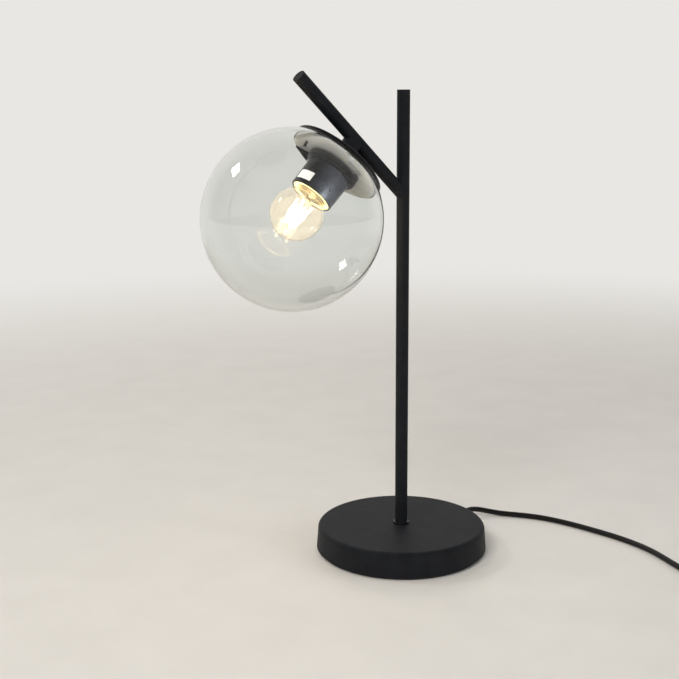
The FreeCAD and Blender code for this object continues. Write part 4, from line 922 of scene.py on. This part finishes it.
world = bpy.data.worlds.new("studio")
world.use_nodes = True
bpy.context.scene.world = world
tree = world.node_tree
tree.nodes.clear()
ambient = add(tree, "ShaderNodeBackground", {"Color": linear(ambient_tone), "Strength": ambient_strength})
direction = add(tree, "ShaderNodeTexCoord").outputs["Generated"]
ahead = add(tree, "ShaderNodeVectorMath", {0: direction, 1: camera_heading.tolist()},
            operation="DOT_PRODUCT").outputs["Value"]
in_room = add(tree, "ShaderNodeMapRange", {"Value": ahead, "From Min": room_edge,
                                           "From Max": backdrop_edge, "To Min": 1.0, "To Max": 0.0},
              interpolation_type="SMOOTHSTEP").outputs["Result"]
bounces = add(tree, "ShaderNodeLightPath").outputs["Glossy Depth"]
mirrored = add(tree, "ShaderNodeMath", {0: bounces, 1: 1.0}, operation="MINIMUM").outputs[0]
dimmed = add(tree, "ShaderNodeMath", {0: in_room, 1: mirrored}, operation="MULTIPLY").outputs[0]
shown = add(tree, "ShaderNodeBackground", {
    "Color": toned(tree, dimmed, backdrop, room_tone), "Strength": 1.0})
mixed = add(tree, "ShaderNodeMixShader", {
    "Fac": plainly_seen(tree), 1: ambient.outputs[0], 2: shown.outputs[0]})
add(tree, "ShaderNodeOutputWorld", {"Surface": mixed.outputs[0]})
print("world", world.name)

# %% [markdown]
# ## Lights
# Three soft boxes light the lamp, and mirrors leave them out. A fourth, small and high behind the lamp,
# is the window whose image shows twice on the globe, once in its near wall and once in its far wall. A
# rectangular lamp shines along its own -Z, so its third axis points away from what it lights.

# %% Soft boxes


def soft_box(name, place, aim, size, watts, colour, mirrored=False):
    """A rectangular area lamp at a place, turned to an aim, and seen in mirrors only if asked.

    Its axes are level = up x away, upright = away x level, and away, which runs from the aim to it.
    """
    data = bpy.data.lights.new(name, "AREA")
    data.shape = "RECTANGLE"
    data.size, data.size_y = size
    data.energy = watts
    data.color = linear(colour)[:3]
    lamp = bpy.data.objects.new(name, data)
    bpy.context.scene.collection.objects.link(lamp)
    away = np.array(place, float) - np.array(aim, float)
    away /= np.linalg.norm(away)
    level = np.cross([0, 0, 1], away)
    level /= np.linalg.norm(level)
    turn = np.eye(4)
    turn[:3, 0] = level
    turn[:3, 1] = np.cross(away, level)
    turn[:3, 2] = away
    turn[:3, 3] = place
    lamp.matrix_world = Matrix(turn.tolist())
    lamp.visible_camera = False
    lamp.visible_glossy = mirrored
    lamp.visible_transmission = mirrored
    return lamp


lamp_middle = (-0.03, 0.0, 0.22)
globe_middle = (-0.14, 0.0, 0.31)
soft_box("key_box", (-1.5, -0.9, 1.5), lamp_middle, (0.9, 0.7), watts=30.0, colour="#fffaf4")
soft_box("fill_box", (1.2, -1.5, 0.9), lamp_middle, (0.9, 0.9), watts=10.0, colour="#f6f8ff")
soft_box("back_box", (0.7, 1.6, 1.3), lamp_middle, (1.0, 0.6), watts=8.0, colour="#fff6ea")
soft_box("window_box", (-1.05, 1.25, 1.55), globe_middle, (0.42, 0.26), watts=7.0, colour="#ffffff",
         mirrored=True)
print("soft boxes", len(bpy.data.lights))

# %% [markdown]
# ### A glint and the bulb's own light
# A tiny box close by gives the lampholder its glint, and light linking keeps it off everything else. A
# small warm lamp in the bulb stands in for the filaments' light on what is around them, because light
# from thin glowing sticks behind two walls of glass would come out as specks.

# %% Glint and warm lamp
barrel_side = -19.5
aim_depth = 59
box_depth = 74
glint_aim = head_points([0, barrel_side, aim_depth])
glint_start = head_points([0, barrel_side, box_depth])
glint_way = np.array([0.36, -0.92, -0.12])
glint_distance = 0.05
glint_size = (0.012, 0.012)
glint_watts = 0.5
filament_watts = 0.42
filament_spread = 0.008

glint = soft_box("glint_box", glint_start + glint_way * glint_distance, glint_aim, glint_size,
                 glint_watts, colour="#eaf2ff", mirrored=True)
glint.visible_transmission = False
glint_receivers = bpy.data.collections.new("glint_receivers")
glint_receivers.objects.link(frame["nodes"]["holder_barrel"])
glint.light_linking.receiver_collection = glint_receivers

warm = bpy.data.lights.new("filament_lamp", "POINT")
warm.energy = filament_watts
warm.color = linear("#ffe2b4")[:3]
warm.shadow_soft_size = filament_spread
warm_lamp = bpy.data.objects.new("filament_lamp", warm)
bpy.context.scene.collection.objects.link(warm_lamp)
warm_lamp.location = head_points([0, 0, bulb_depth]).tolist()
print("warm lamp at", np.round(warm_lamp.location, 3))

# %% [markdown]
# The Standard view shows colours as they are written.

# %% View
bpy.context.scene.view_settings.view_transform = "Standard"
